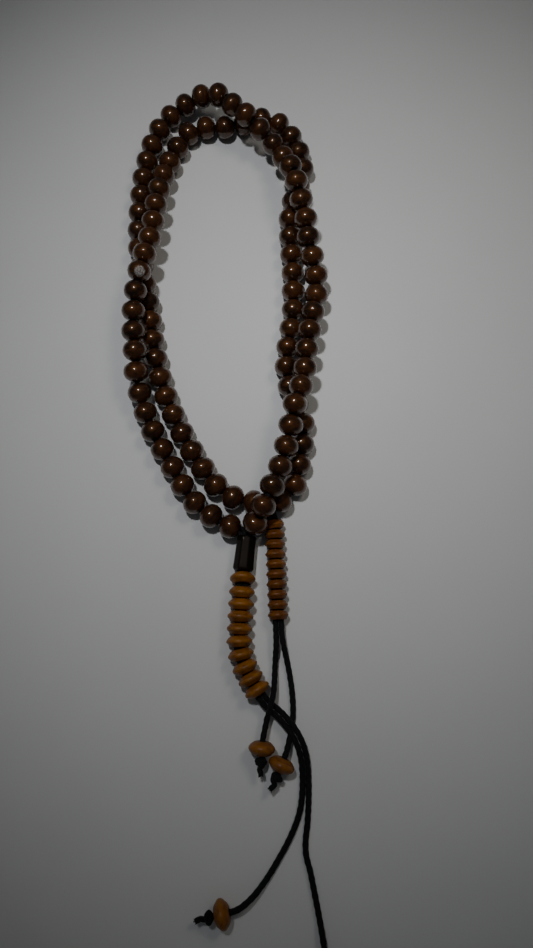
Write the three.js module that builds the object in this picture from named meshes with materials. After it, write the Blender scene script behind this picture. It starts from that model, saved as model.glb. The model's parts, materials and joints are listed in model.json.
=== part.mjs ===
// Mala: a doubled strand of turned beads on one cord, closed by a guru bead that carries a tail of
// disc counters, with a second tail of smaller counters tied half way round the strand.
// It lies flat. Millimetres, X to the right, Y towards the top of the loop, Z up from the surface.
import * as THREE from "three";

// Strand
const BEAD_DIAMETER = 7.8;
const BEAD_BAND = 0.4; // share of a bead's half length that runs at full diameter
const BEADS_BEFORE_TIE = 52;
const BEADS_AFTER_TIE = 50;
const RUNS_PER_HALF = 9; // the beads of each side of the tie are grouped in this many runs
const RUN_GAP = 0.3;
const NECK_WALL = 0.75; // material left around the bore where two beads of a run meet
const CORD_DIAMETER = 1.6;
const CORD_CLEARANCE = 0.4; // between the cord and a bore, on the radius
const TIE_GAP = 1.9; // room between the two halves of the strand for the tail's loop
const TIE_CORD = 1.2; // thickness of that loop
const FREE_LEAD = 3.1; // bare cord between the guru bead and the beads next to it
const LAYOUT_BEAD = 7.8; // bead diameter that the strand's route below is laid out for

// Guru bead
const GURU_WIDTH = 6.5;
const GURU_LENGTH = 11.2;
const GURU_CHAMFER = 0.9;
const GURU_CORD_DEPTH = 4; // how far each cord goes into the guru bead

// Tails
const COUNTERS_PER_TAIL = 10;
const PAIR_GAP = 0.2; // between the two cords of a doubled stretch
const SLIDE_CLEARANCE = 0.25; // between the cords and a counter's bore, on the radius
const HUB_WALL = 0.3; // flat ring round a counter's bore
const RIM_SHARE = 0.35; // share of a disc's thickness that its blunt rim takes
const JOINT_GAP = 0.3; // between faces that touch
const SEAT_GAP = 0.1; // between the surface and a piece that lies on it
// laidPitch is the distance between counters that the tail's route is laid out for
const GURU_TAIL = {
  counterDiameter: 8.1, counterThickness: 3.2, endDiameter: 8.4, endThickness: 4.4, laidPitch: 3.74,
};
const STRAND_TAIL = {
  counterDiameter: 6.5, counterThickness: 2.6, endDiameter: 8.2, endThickness: 4.2, laidPitch: 3.14,
};
const COUNTER_GAP = 0.54;
const TIE_TO_COUNTER = 3.4; // cord between the tie and the first of the smaller counters
const KNOT_DIAMETER = 3.4;
const KNOT_LENGTH = 3.6;
const KNOT_TAIL = 2;

// Facets
const SIDES = 8;
const CORD_STEP = 3.2;

const CORD_RADIUS = CORD_DIAMETER / 2;
const PAIR_OFFSET = (CORD_DIAMETER + PAIR_GAP) / 2;
const ROUND_UP = 1 / Math.cos(Math.PI / SIDES); // a faceted circle's corner radius over its flat radius
const UP = new THREE.Vector3(0, 0, 1);

// Middle of the strand's cord: up the right on top, round the top and down the left underneath.
const FIRST_PASS = [
  [11, -52, 8.4], [14, -46, 12.3], [16.5, -40, 11.4], [19.5, -31.5, 10.6], [22, -20.5, 11.3],
  [23.5, -13, 12.1], [26, -6, 10.4], [27, 3, 9.4], [29, 16, 8.6], [31, 26, 7.3], [30.5, 35, 8],
  [28.5, 43, 9.6], [27, 55, 10.3], [25, 62, 11.6], [23.3, 69.5, 11.8], [20, 77.5, 8.2],
  [16.3, 84, 7.2], [12, 88, 9.2], [7.5, 91.5, 11.7], [3, 96, 11], [-4, 102.2, 10],
  [-11, 103.3, 7], [-17.5, 101, 4.2], [-22.7, 95.7, 4.1], [-26.6, 88, 4], [-29.7, 74, 4],
  [-30.7, 58, 4], [-30.6, 46, 4], [-28.7, 35.5, 4], [-26, 21.5, 4], [-24, 8, 4], [-21, -4.5, 4],
  [-16, -17.5, 4], [-9.6, -29.6, 4], [-2, -40.2, 4], [3.2, -43.9, 4], [9, -45.5, 4],
];
// Then round again: up the right underneath, and down the left, over the first pass and back beside it.
const SECOND_PASS = [
  [14.5, -45.6, 4], [19.5, -44.5, 4], [23.3, -39.5, 4], [24.6, -33, 4], [26, -22, 4], [25.3, -16, 4],
  [22.5, -9.5, 4], [20.8, -2, 4], [21.2, 8, 4], [23, 20, 4], [23, 36, 4], [22.3, 50, 4],
  [22.6, 60, 4], [25.5, 69, 4], [27, 76, 4], [25, 84.5, 4], [21, 92, 4], [16, 96.3, 4],
  [10.3, 96.7, 4], [4.5, 94.4, 4], [-1.5, 93.4, 4], [-7.5, 93.3, 4], [-13.5, 91.3, 4],
  [-18.4, 84, 4], [-21.4, 76, 4.8], [-23.2, 68, 7.2], [-24.5, 57, 9], [-25.4, 47, 9.9],
  [-26.8, 39, 11.3], [-28.3, 32, 12], [-29.8, 22, 11.1], [-30, 12, 10], [-29, 3, 9.8],
  [-28.6, -5, 7.5], [-27, -12, 4.3], [-23.8, -20.5, 4], [-17, -33, 4], [-9.8, -44.7, 4],
  [-3.9, -49.8, 4], [2.1, -53.2, 4.1],
];
const ORIGIN_SHIFT = [-0.1, -0.8, 0]; // brings the middle of the strand and its counters to the origin
const GURU_TOP = [7.8, -56.2];
const GURU_DIRECTION = new THREE.Vector3(-0.107, -0.994, 0).normalize();
const STRAND_SCALE = BEAD_DIAMETER / LAYOUT_BEAD;

// Routes of the tails, from the foot of the guru bead and from the tie. The third value lifts the
// cord from the surface (0) to the height of the bore that it goes through (1).
const GURU_TAIL_PAIR = [
  [-0.1, -4, 1.03], [-0.4, -9.5, 1], [-0.7, -15, 1], [-0.9, -20.5, 1], [-0.6, -24.5, 1], [0.6, -28.5, 1],
  [2.5, -32.3, 1], [4.5, -35.6, 1], [5.9, -37.8, 1], [7.8, -40, 0.75], [11.6, -43.2, 0.64],
  [15.1, -47.2, 0.8], [17.3, -51.2, 0.75], [18.6, -56, 0.35], [19, -61.8, 0.01],
];
const GURU_TAIL_ENDS = [
  [
    [17.7, -67.5, 0.01], [16.8, -71.6, 0.01], [14.4, -77.2, 0.01], [11, -83, 0.02],
    [7.1, -88.6, 0.2], [2.9, -92.9, 0.7], [-0.7, -95.2, 1], [-4.6, -96.3, 1], [-7.3, -96.9, 1],
  ],
  [
    [19.8, -67.5, 0.01], [19.4, -73.5, 0.01], [18.8, -78.4, 0.01], [18.9, -82, 0.01],
    [20, -86.2, 0.01], [21.3, -92.5, 0.01], [22.5, -98.6, 0.05], [23.5, -104.6, 0.6],
    [24.1, -109.2, 1], [24.5, -114.7, 1], [24.7, -117.6, 1],
  ],
];
const STRAND_TAIL_PAIR = [
  [0.1, -2.9, 1.05], [1.2, -4.5, 1], [1.95, -6.4, 1], [2.25, -9.7, 1], [2.4, -14, 1], [2.6, -19, 1],
  [2.83, -25, 1], [3.03, -30, 1], [3.22, -34.8, 1], [3.35, -38, 1], [3.46, -40.8, 1],
];
const STRAND_TAIL_ENDS = [
  [
    [2.6, -44.5, 0.75], [2.4, -48, 0.35], [2.2, -52, 0.3], [2, -55.6, 0.75], [1.6, -59, 1.22],
    [0.8, -62.4, 1.27], [-0.2, -65.8, 0.95], [-0.9, -69, 0.95], [-1.4, -71.4, 1], [-1.7, -73.6, 1],
    [-1.9, -76.2, 1],
  ],
  [
    [4.9, -44.5, 0.7], [5.8, -48.5, 0.2], [6.7, -53, 0.01], [7.4, -58, 0.01], [7.7, -63, 0.01],
    [7.5, -66.8, 0.01], [6.9, -70.2, 0.2], [6, -73.6, 0.8], [5.3, -75.8, 1], [4.4, -77.9, 1],
    [3.2, -80.6, 1],
  ],
];

const finish = (color, roughness) => new THREE.MeshStandardMaterial({ color, roughness, metalness: 0 });
const FINISHES = {
  beadWood: () => finish(0x3a1d12, 0.3),
  guruWood: () => finish(0x1d100c, 0.3),
  counterWood: () => finish(0xb07a2c, 0.5),
  cord: () => finish(0x121212, 0.9),
};

function namedMesh(name, geometry, material) {
  const mesh = new THREE.Mesh(geometry, material);
  mesh.name = name;
  return mesh;
}

function latheOf(profile) {
  const corners = profile.map(([radius, height]) => new THREE.Vector2(radius, height));
  return new THREE.LatheGeometry(corners, SIDES);
}

function smoothRoute(points) {
  const route = new THREE.CatmullRomCurve3(points, false, "centripetal");
  route.arcLengthDivisions = 40 * points.length;
  return route;
}

// The level direction across a route, to the right of its travel seen from above.
function acrossOf(tangent) {
  return new THREE.Vector3().crossVectors(tangent, UP).normalize();
}

// Bends a solid that was turned about the Y axis so that its axis follows a route from a start length.
function bendAlong(geometry, route, start) {
  const total = route.getLength();
  const position = geometry.getAttribute("position");
  for (let i = 0; i < position.count; i += 1) {
    const share = THREE.MathUtils.clamp((start + position.getY(i)) / total, 0, 1);
    const tangent = route.getTangentAt(share);
    const across = acrossOf(tangent);
    const above = new THREE.Vector3().crossVectors(across, tangent);
    const point = route.getPointAt(share)
      .addScaledVector(across, position.getX(i))
      .addScaledVector(above, position.getZ(i));
    position.setXYZ(i, point.x, point.y, point.z);
  }
  return geometry;
}

function roundSection(radius) {
  const corners = Array.from({ length: SIDES }, (_, i) => {
    const angle = (2 * Math.PI * (i + 0.5)) / SIDES;
    return new THREE.Vector2(radius * Math.cos(angle), radius * Math.sin(angle));
  });
  return new THREE.Shape(corners);
}

function cordAlong(route) {
  const steps = Math.round(route.getLength() / CORD_STEP);
  return new THREE.ExtrudeGeometry(roundSection(CORD_RADIUS), {
    steps,
    extrudePath: route,
    bevelEnabled: false,
  });
}

// Stands a turned piece on a route with its axis along the route there.
function placeOn(mesh, point, tangent) {
  mesh.position.copy(point);
  mesh.quaternion.setFromUnitVectors(new THREE.Vector3(0, 1, 0), tangent);
  return mesh;
}

// Guru bead: an eight-sided bead that lies on one flat, with a bore wide enough for both cords.
const pairBore = PAIR_OFFSET + CORD_RADIUS + SLIDE_CLEARANCE;
const guruTop = new THREE.Vector3(
  GURU_TOP[0] * STRAND_SCALE, GURU_TOP[1] * STRAND_SCALE, GURU_WIDTH / 2,
);
const guruFoot = guruTop.clone().addScaledVector(GURU_DIRECTION, GURU_LENGTH);
const guruAcross = acrossOf(GURU_DIRECTION);
const guruEndRadius = (GURU_WIDTH / 2) * ROUND_UP - GURU_CHAMFER;

function guruBead() {
  const flat = (GURU_WIDTH / 2) * ROUND_UP;
  const bore = pairBore * ROUND_UP;
  const profile = [
    [bore, 0], [guruEndRadius, 0], [flat, GURU_CHAMFER], [flat, GURU_LENGTH - GURU_CHAMFER],
    [guruEndRadius, GURU_LENGTH], [bore, GURU_LENGTH], [bore, 0],
  ];
  const geometry = latheOf(profile);
  geometry.rotateY(Math.PI / SIDES);
  const axes = new THREE.Matrix4().makeBasis(guruAcross, GURU_DIRECTION, UP);
  geometry.applyMatrix4(axes);
  const mesh = namedMesh("guru_bead", geometry, FINISHES.guruWood());
  mesh.position.copy(guruTop);
  return mesh;
}

// A point of a cord inside the guru bead, on one side of the pair.
function inGuru(depth, side) {
  return guruTop.clone()
    .addScaledVector(GURU_DIRECTION, depth)
    .addScaledVector(guruAcross, side * PAIR_OFFSET);
}

function strandRoute() {
  const laid = [...FIRST_PASS, ...SECOND_PASS].map(
    (point) => new THREE.Vector3(...point).multiplyScalar(STRAND_SCALE),
  );
  return smoothRoute([
    inGuru(GURU_CORD_DEPTH, -1), inGuru(0, -1), inGuru(-CORD_DIAMETER, -1), ...laid,
    inGuru(-CORD_DIAMETER, 1), inGuru(0, 1), inGuru(GURU_CORD_DEPTH, 1),
  ]);
}

const strand = strandRoute();
// Cord between its end inside the guru bead and the first bead.
const LEAD = GURU_CORD_DEPTH + FREE_LEAD * STRAND_SCALE;
const pitch = (strand.getLength() - 2 * LEAD - TIE_GAP) / (BEADS_BEFORE_TIE + BEADS_AFTER_TIE);
const strandBore = (CORD_RADIUS + CORD_CLEARANCE) * ROUND_UP;

// Shares a number of beads out as evenly as it goes over the runs of one half of the strand.
function runSizes(beads) {
  const least = Math.floor(beads / RUNS_PER_HALF);
  const larger = beads % RUNS_PER_HALF;
  return Array.from({ length: RUNS_PER_HALF }, (_, i) => least + (i < larger ? 1 : 0));
}

// Every run as its number of beads, the cord length where it starts, and its own length.
function layOutRuns() {
  const laid = [];
  let start = LEAD;
  for (const beads of [...runSizes(BEADS_BEFORE_TIE), ...runSizes(BEADS_AFTER_TIE)]) {
    if (laid.length === RUNS_PER_HALF) start += TIE_GAP;
    laid.push({ beads, start: start + RUN_GAP / 2, length: beads * pitch - RUN_GAP });
    start += beads * pitch;
  }
  return laid;
}
const runs = layOutRuns();

// A run of beads that touch: one outline with a neck between beads, and the cord's bore through it.
function beadRun({ beads, start, length }, index) {
  const half = length / beads / 2;
  const neck = strandBore + NECK_WALL;
  const outline = [[neck, 0]];
  const bore = [[strandBore, 0]];
  for (let i = 0; i < beads; i += 1) {
    const centre = (2 * i + 1) * half;
    outline.push(
      [BEAD_DIAMETER / 2, centre - half * BEAD_BAND],
      [BEAD_DIAMETER / 2, centre + half * BEAD_BAND],
      [neck, centre + half],
    );
    bore.push([strandBore, centre + half]);
  }
  const geometry = bendAlong(latheOf([...outline, ...bore.reverse(), outline[0]]), strand, start);
  return namedMesh(`bead_run_${String(index + 1).padStart(2, "0")}`, geometry, FINISHES.beadWood());
}

// The strand's cord, with a ring at each place where the beads' bore turns.
function strandCord() {
  const rings = [0, LEAD / 2];
  for (const { beads, start, length } of runs) {
    for (let i = 0; i <= beads; i += 1) rings.push(start + (i * length) / beads);
  }
  rings.push(strand.getLength() - LEAD / 2, strand.getLength());
  const last = rings[rings.length - 1];
  const profile = [[0, 0], ...rings.map((height) => [CORD_RADIUS, height]), [0, last]];
  return namedMesh("strand_cord", bendAlong(latheOf(profile), strand, 0), FINISHES.cord());
}

// The loop that ties the second tail round the strand's cord, half way along it.
const tieAt = runs[RUNS_PER_HALF].start - RUN_GAP / 2 - TIE_GAP / 2;
const tiePoint = strand.getPointAt(tieAt / strand.getLength());
const tieTangent = strand.getTangentAt(tieAt / strand.getLength());
const tieRadius = CORD_RADIUS + JOINT_GAP + TIE_CORD / 2;

function tieLoop() {
  const geometry = new THREE.TorusGeometry(tieRadius, TIE_CORD / 2, 6, 10);
  const mesh = namedMesh("tail_tie_loop", geometry, FINISHES.cord());
  mesh.position.copy(tiePoint);
  mesh.quaternion.setFromUnitVectors(UP, tieTangent);
  return mesh;
}

// Places the points of a route that are given from an origin with a lift between surface and bore.
// The route grows with the stack of counters, for which it is laid out at one pitch.
function liftedPoints(points, origin, boreHeight, sizes) {
  const growth = (sizes.counterThickness + COUNTER_GAP) / sizes.laidPitch;
  return points.map(([x, y, lift]) => new THREE.Vector3(
    origin.x + growth * x,
    origin.y + growth * y,
    CORD_RADIUS + SEAT_GAP + lift * (boreHeight - CORD_RADIUS),
  ));
}

// Shifts the points of a doubled stretch to one side of its middle line.
function sideOfPair(spine, side) {
  const route = smoothRoute(spine);
  return spine.map((point, i) => {
    const tangent = route.getTangent(i / (spine.length - 1));
    return point.clone().addScaledVector(acrossOf(tangent), side * PAIR_OFFSET);
  });
}

// A turned disc: two shallow cones that meet at a blunt rim, with a flat hub round the bore.
function discGeometry(diameter, thickness, bore) {
  const rim = (thickness * RIM_SHARE) / 2;
  const profile = [
    [bore, -thickness / 2], [bore + HUB_WALL, -thickness / 2], [diameter / 2, -rim], [diameter / 2, rim],
    [bore + HUB_WALL, thickness / 2], [bore, thickness / 2], [bore, -thickness / 2],
  ];
  return latheOf(profile);
}

// The knot that stops an end disc: a round body, then the cord's short cut end.
function knotGeometry() {
  const body = KNOT_DIAMETER / 2;
  const profile = [
    [0, 0], [body * 0.7, 0], [body, KNOT_LENGTH * 0.3], [body, KNOT_LENGTH * 0.7],
    [CORD_RADIUS, KNOT_LENGTH], [CORD_RADIUS, KNOT_LENGTH + KNOT_TAIL], [0, KNOT_LENGTH + KNOT_TAIL],
  ];
  return latheOf(profile);
}

// The next place along a route where a disc clears the one before it, which a bend tilts towards it.
function nextAlong(spine, at, thickness, faceRadius) {
  const total = spine.getLength();
  const straight = at + thickness + COUNTER_GAP;
  const bend = spine.getTangentAt(at / total).angleTo(spine.getTangentAt(straight / total));
  return at + thickness + Math.max(COUNTER_GAP, JOINT_GAP + faceRadius * bend);
}

// The counters of a tail, threaded on its doubled cord one after another from a first length.
function counters(prefix, sizes, spine, first) {
  const total = spine.getLength();
  const bore = pairBore * ROUND_UP;
  let at = first;
  return Array.from({ length: COUNTERS_PER_TAIL }, (_, i) => {
    const name = `${prefix}_counter_${String(i + 1).padStart(2, "0")}`;
    const geometry = discGeometry(sizes.counterDiameter, sizes.counterThickness, bore);
    const mesh = namedMesh(name, geometry, FINISHES.counterWood());
    placeOn(mesh, spine.getPointAt(at / total), spine.getTangentAt(at / total));
    at = nextAlong(spine, at, sizes.counterThickness, bore + HUB_WALL);
    return mesh;
  });
}

// One free end of a tail: its cord from the start of the pair, its end disc and its knot.
function tailEnd(prefix, number, sizes, start, spinePoints, endPoints) {
  const side = number === 1 ? 1 : -1;
  const route = smoothRoute([...start(side), ...sideOfPair(spinePoints, side), ...endPoints]);
  const total = route.getLength();
  const stop = route.getPointAt(1);
  const tangent = route.getTangentAt(1);
  const discBore = (CORD_RADIUS + SLIDE_CLEARANCE) * ROUND_UP;
  const discAt = (total - sizes.endThickness / 2) / total;
  const disc = namedMesh(
    `${prefix}_end_disc_${number}`,
    discGeometry(sizes.endDiameter, sizes.endThickness, discBore),
    FINISHES.counterWood(),
  );
  const knot = namedMesh(`${prefix}_knot_${number}`, knotGeometry(), FINISHES.cord());
  return [
    namedMesh(`${prefix}_cord_${number}`, cordAlong(route), FINISHES.cord()),
    placeOn(disc, route.getPointAt(discAt), route.getTangentAt(discAt)),
    placeOn(knot, stop.clone().addScaledVector(tangent, JOINT_GAP), tangent),
  ];
}

function guruTail() {
  const boreHeight = GURU_TAIL.counterDiameter / 2;
  const spinePoints = liftedPoints(GURU_TAIL_PAIR, guruFoot, boreHeight, GURU_TAIL);
  const rise = new THREE.Vector3(0, 0, SLIDE_CLEARANCE / 2);
  const spine = smoothRoute([guruFoot.clone().add(rise), ...spinePoints]);
  const start = (side) => [
    inGuru(GURU_LENGTH - GURU_CORD_DEPTH + JOINT_GAP, side), inGuru(GURU_LENGTH, side).add(rise),
  ];
  const level = JOINT_GAP + GURU_TAIL.counterThickness / 2;
  const tilt = Math.abs(spine.getTangentAt(level / spine.getLength()).z);
  const first = level + tilt * guruEndRadius;
  const ends = GURU_TAIL_ENDS.flatMap((points, i) => tailEnd(
    "guru_tail", i + 1, GURU_TAIL, start, spinePoints,
    liftedPoints(points, guruFoot, GURU_TAIL.endDiameter / 2, GURU_TAIL),
  ));
  return [...counters("guru_tail", GURU_TAIL, spine, first), ...ends];
}

function strandTail() {
  const boreHeight = STRAND_TAIL.counterDiameter / 2;
  const spinePoints = liftedPoints(STRAND_TAIL_PAIR, tiePoint, boreHeight, STRAND_TAIL);
  const spine = smoothRoute(spinePoints);
  const first = TIE_TO_COUNTER + STRAND_TAIL.counterThickness / 2;
  const ends = STRAND_TAIL_ENDS.flatMap((points, i) => tailEnd(
    "strand_tail", i + 1, STRAND_TAIL, () => [], spinePoints,
    liftedPoints(points, tiePoint, STRAND_TAIL.endDiameter / 2, STRAND_TAIL),
  ));
  return [...counters("strand_tail", STRAND_TAIL, spine, first), ...ends];
}

const mala = new THREE.Group();
mala.position.set(...ORIGIN_SHIFT);
mala.add(...runs.map(beadRun), strandCord(), guruBead(), tieLoop(), ...guruTail(), ...strandTail());

export default mala;
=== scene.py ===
"""Mala of dark turned beads with two tails of ochre disc counters, laid flat as a double loop.

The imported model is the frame. Lengths in this file are millimetres until they are put into a mesh, which
is in metres: X to the right, Y towards the top of the loop, Z up from the surface.
"""
import json
import logging
import math
from dataclasses import dataclass, field
from enum import Enum
from typing import Any, Callable, Iterable, Sequence

import bmesh
import bpy
import numpy as np
from mathutils import Matrix, Vector


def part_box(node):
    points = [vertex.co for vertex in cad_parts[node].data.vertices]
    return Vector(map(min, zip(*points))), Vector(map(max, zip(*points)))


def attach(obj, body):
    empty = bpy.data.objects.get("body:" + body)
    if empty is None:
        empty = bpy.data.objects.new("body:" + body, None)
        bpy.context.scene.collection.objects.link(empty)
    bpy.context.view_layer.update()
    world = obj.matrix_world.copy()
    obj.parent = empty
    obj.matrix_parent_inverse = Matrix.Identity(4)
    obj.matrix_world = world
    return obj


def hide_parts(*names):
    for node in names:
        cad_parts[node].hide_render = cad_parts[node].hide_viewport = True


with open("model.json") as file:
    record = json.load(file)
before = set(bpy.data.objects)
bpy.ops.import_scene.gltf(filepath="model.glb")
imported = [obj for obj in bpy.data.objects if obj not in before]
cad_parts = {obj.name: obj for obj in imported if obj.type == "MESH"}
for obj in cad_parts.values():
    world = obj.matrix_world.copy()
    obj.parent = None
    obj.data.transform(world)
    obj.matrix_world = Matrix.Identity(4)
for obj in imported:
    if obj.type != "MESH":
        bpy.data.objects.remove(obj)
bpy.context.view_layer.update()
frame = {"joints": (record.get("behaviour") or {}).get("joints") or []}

LOG = logging.getLogger("mala")

Socket = bpy.types.NodeSocket
Tree = bpy.types.NodeTree
Mesh = bpy.types.Mesh
Piece = bpy.types.Object
Material = bpy.types.Material
Colour = tuple[float, float, float, float]
Place = Sequence[float]

MM = 0.001
UP = np.array([0.0, 0.0, 1.0])
STRAND_BODY = "strand"

# The camera: its place in millimetres, its tilt from straight down, and its lens and sensor in millimetres
CAMERA_PLACE = (13.9, -89.8, 229.0)
CAMERA_TILT = math.radians(13.2)
CAMERA_LENS = 27.19
CAMERA_SENSOR = 36.0

# Layout in millimetres, as the CAD part has it; each route is X, Y and Z, and each tail is X, Y and lift
ORIGIN_SHIFT = np.array([-0.1, -0.8, 0.0])
CORD_DIAMETER = 1.6
CORD_RADIUS = CORD_DIAMETER / 2
PAIR_GAP = 0.2
PAIR_OFFSET = (CORD_DIAMETER + PAIR_GAP) / 2
SEAT_GAP = 0.1
JOINT_GAP = 0.3
BORE_RISE = 0.125

# The one bead whose varnish is rubbed off lies nearest this place
RUBBED_BEAD = (-28.3, 32.0, 12.0)

# A braid is drawn a little fuller than its CAD cord: its radius in millimetres
CORD_DRAWN_RADIUS = 0.87

GURU_WIDTH = 6.5
GURU_LENGTH = 11.2
GURU_CORD_DEPTH = 4.0
GURU_TOP = np.array([7.8, -56.2, GURU_WIDTH / 2])
GURU_DIRECTION = np.array([-0.107, -0.994, 0.0]) / math.hypot(0.107, 0.994)
FIRST_PASS = [
    [11, -52, 8.4], [14, -46, 12.3], [16.5, -40, 11.4], [19.5, -31.5, 10.6], [22, -20.5, 11.3],
    [23.5, -13, 12.1], [26, -6, 10.4], [27, 3, 9.4], [29, 16, 8.6], [31, 26, 7.3], [30.5, 35, 8],
    [28.5, 43, 9.6], [27, 55, 10.3], [25, 62, 11.6], [23.3, 69.5, 11.8], [20, 77.5, 8.2],
    [16.3, 84, 7.2], [12, 88, 9.2], [7.5, 91.5, 11.7], [3, 96, 11], [-4, 102.2, 10],
    [-11, 103.3, 7], [-17.5, 101, 4.2], [-22.7, 95.7, 4.1], [-26.6, 88, 4], [-29.7, 74, 4],
    [-30.7, 58, 4], [-30.6, 46, 4], [-28.7, 35.5, 4], [-26, 21.5, 4], [-24, 8, 4], [-21, -4.5, 4],
    [-16, -17.5, 4], [-9.6, -29.6, 4], [-2, -40.2, 4], [3.2, -43.9, 4], [9, -45.5, 4],
]
SECOND_PASS = [
    [14.5, -45.6, 4], [19.5, -44.5, 4], [23.3, -39.5, 4], [24.6, -33, 4], [26, -22, 4], [25.3, -16, 4],
    [22.5, -9.5, 4], [20.8, -2, 4], [21.2, 8, 4], [23, 20, 4], [23, 36, 4], [22.3, 50, 4],
    [22.6, 60, 4], [25.5, 69, 4], [27, 76, 4], [25, 84.5, 4], [21, 92, 4], [16, 96.3, 4],
    [10.3, 96.7, 4], [4.5, 94.4, 4], [-1.5, 93.4, 4], [-7.5, 93.3, 4], [-13.5, 91.3, 4],
    [-18.4, 84, 4], [-21.4, 76, 4.8], [-23.2, 68, 7.2], [-24.5, 57, 9], [-25.4, 47, 9.9],
    [-26.8, 39, 11.3], [-28.3, 32, 12], [-29.8, 22, 11.1], [-30, 12, 10], [-29, 3, 9.8],
    [-28.6, -5, 7.5], [-27, -12, 4.3], [-23.8, -20.5, 4], [-17, -33, 4], [-9.8, -44.7, 4],
    [-3.9, -49.8, 4], [2.1, -53.2, 4.1],
]
GURU_TAIL_PAIR = [
    [-0.1, -4, 1.03], [-0.4, -9.5, 1], [-0.7, -15, 1], [-0.9, -20.5, 1], [-0.6, -24.5, 1], [0.6, -28.5, 1],
    [2.5, -32.3, 1], [4.5, -35.6, 1], [5.9, -37.8, 1], [7.8, -40, 0.75], [11.6, -43.2, 0.64],
    [15.1, -47.2, 0.8], [17.3, -51.2, 0.75], [18.6, -56, 0.35], [19, -61.8, 0.01],
]
GURU_TAIL_ENDS = [
    [
        [17.7, -67.5, 0.01], [16.8, -71.6, 0.01], [14.4, -77.2, 0.01], [11, -83, 0.02],
        [7.1, -88.6, 0.2], [2.9, -92.9, 0.7], [-0.7, -95.2, 1], [-4.6, -96.3, 1], [-7.3, -96.9, 1],
    ],
    [
        [19.8, -67.5, 0.01], [19.4, -73.5, 0.01], [18.8, -78.4, 0.01], [18.9, -82, 0.01],
        [20, -86.2, 0.01], [21.3, -92.5, 0.01], [22.5, -98.6, 0.05], [23.5, -104.6, 0.6],
        [24.1, -109.2, 1], [24.5, -114.7, 1], [24.7, -117.6, 1],
    ],
]
STRAND_TAIL_PAIR = [
    [0.1, -2.9, 1.05], [1.2, -4.5, 1], [1.95, -6.4, 1], [2.25, -9.7, 1], [2.4, -14, 1], [2.6, -19, 1],
    [2.83, -25, 1], [3.03, -30, 1], [3.22, -34.8, 1], [3.35, -38, 1], [3.46, -40.8, 1],
]
STRAND_TAIL_ENDS = [
    [
        [2.6, -44.5, 0.75], [2.4, -48, 0.35], [2.2, -52, 0.3], [2, -55.6, 0.75], [1.6, -59, 1.22],
        [0.8, -62.4, 1.27], [-0.2, -65.8, 0.95], [-0.9, -69, 0.95], [-1.4, -71.4, 1], [-1.7, -73.6, 1],
        [-1.9, -76.2, 1],
    ],
    [
        [4.9, -44.5, 0.7], [5.8, -48.5, 0.2], [6.7, -53, 0.01], [7.4, -58, 0.01], [7.7, -63, 0.01],
        [7.5, -66.8, 0.01], [6.9, -70.2, 0.2], [6, -73.6, 0.8], [5.3, -75.8, 1], [4.4, -77.9, 1],
        [3.2, -80.6, 1],
    ],
]


class Slot(Enum):
    """The record's material slots."""

    BEAD = "bead_wood"
    GURU = "guru_wood"
    COUNTER = "counter_wood"
    CORD = "cord"


# ---------------------------------------------------------------- routes


class Route:
    """A smooth centripetal curve through given points, in millimetres."""

    SAMPLES = 24

    def __init__(self, points: Iterable[Sequence[float]]) -> None:
        """Samples the curve finely.

        Args:
            points: the points that the curve goes through.
        """
        self.points = np.array([list(point) for point in points], float)
        self.line = self._sampled()
        steps = np.linalg.norm(np.diff(self.line, axis=0), axis=1)
        self.reach = np.concatenate([[0.0], np.cumsum(steps)])

    def _sampled(self) -> np.ndarray:
        """The curve as many short steps.

        Returns:
            The ends of the steps, a row each.
        """
        points = self.points
        padded = np.vstack([2 * points[0] - points[1], points, 2 * points[-1] - points[-2]])
        share = np.linspace(0, 1, self.SAMPLES, endpoint=False)[:, None]
        rows = []
        for i in range(len(points) - 1):
            before, start, stop, after = padded[i:i + 4]
            near, middle, far = (math.sqrt(np.linalg.norm(gap)) for gap in np.diff(padded[i:i + 4], axis=0))
            leave = (start - before) / near - (stop - before) / (near + middle) + (stop - start) / middle
            arrive = (stop - start) / middle - (after - start) / (middle + far) + (after - stop) / far
            leave *= middle
            arrive *= middle
            square = -3 * start + 3 * stop - 2 * leave - arrive
            cube = 2 * start - 2 * stop + leave + arrive
            rows.append(start + leave * share + square * share**2 + cube * share**3)
        rows.append(points[-1:])
        return np.vstack(rows)

    @property
    def length(self) -> float:
        """The length of the curve."""
        return float(self.reach[-1])

    def at(self, distance: Any) -> np.ndarray:
        """The point, or points, at a length along the curve."""
        return np.stack([np.interp(distance, self.reach, self.line[:, k]) for k in range(3)], axis=-1)

    def direction(self, distance: Any, span: float = 0.4) -> np.ndarray:
        """The unit direction, or directions, of travel at a length along the curve.

        Args:
            distance: one length along the curve, or many.
            span: how long a stretch gives the direction.

        Returns:
            A unit vector, or one for each length.
        """
        low = np.clip(np.asarray(distance) - span / 2, 0, self.length - span)
        step = self.at(low + span) - self.at(low)
        return step / np.linalg.norm(step, axis=-1, keepdims=True)

    def direction_at_point(self, index: int) -> np.ndarray:
        """The unit direction of travel at one of the points that the curve goes through.

        Args:
            index: which of the points.

        Returns:
            A unit vector.
        """
        sample = index * self.SAMPLES
        low, high = max(sample - 1, 0), min(sample + 1, len(self.line) - 1)
        step = self.line[high] - self.line[low]
        return step / np.linalg.norm(step)

    def even(self, step: float) -> np.ndarray:
        """Points at about one step apart from end to end."""
        return self.at(np.linspace(0, self.length, max(2, round(self.length / step) + 1)))


def across_of(direction: np.ndarray) -> np.ndarray:
    """The level direction to the right of travel, seen from above."""
    across = np.cross(direction, UP)
    return across / np.linalg.norm(across)


def in_frame(points: np.ndarray) -> np.ndarray:
    """Millimetres of the layout as metres of the frame."""
    return (np.asarray(points, float) + ORIGIN_SHIFT) * MM


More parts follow.
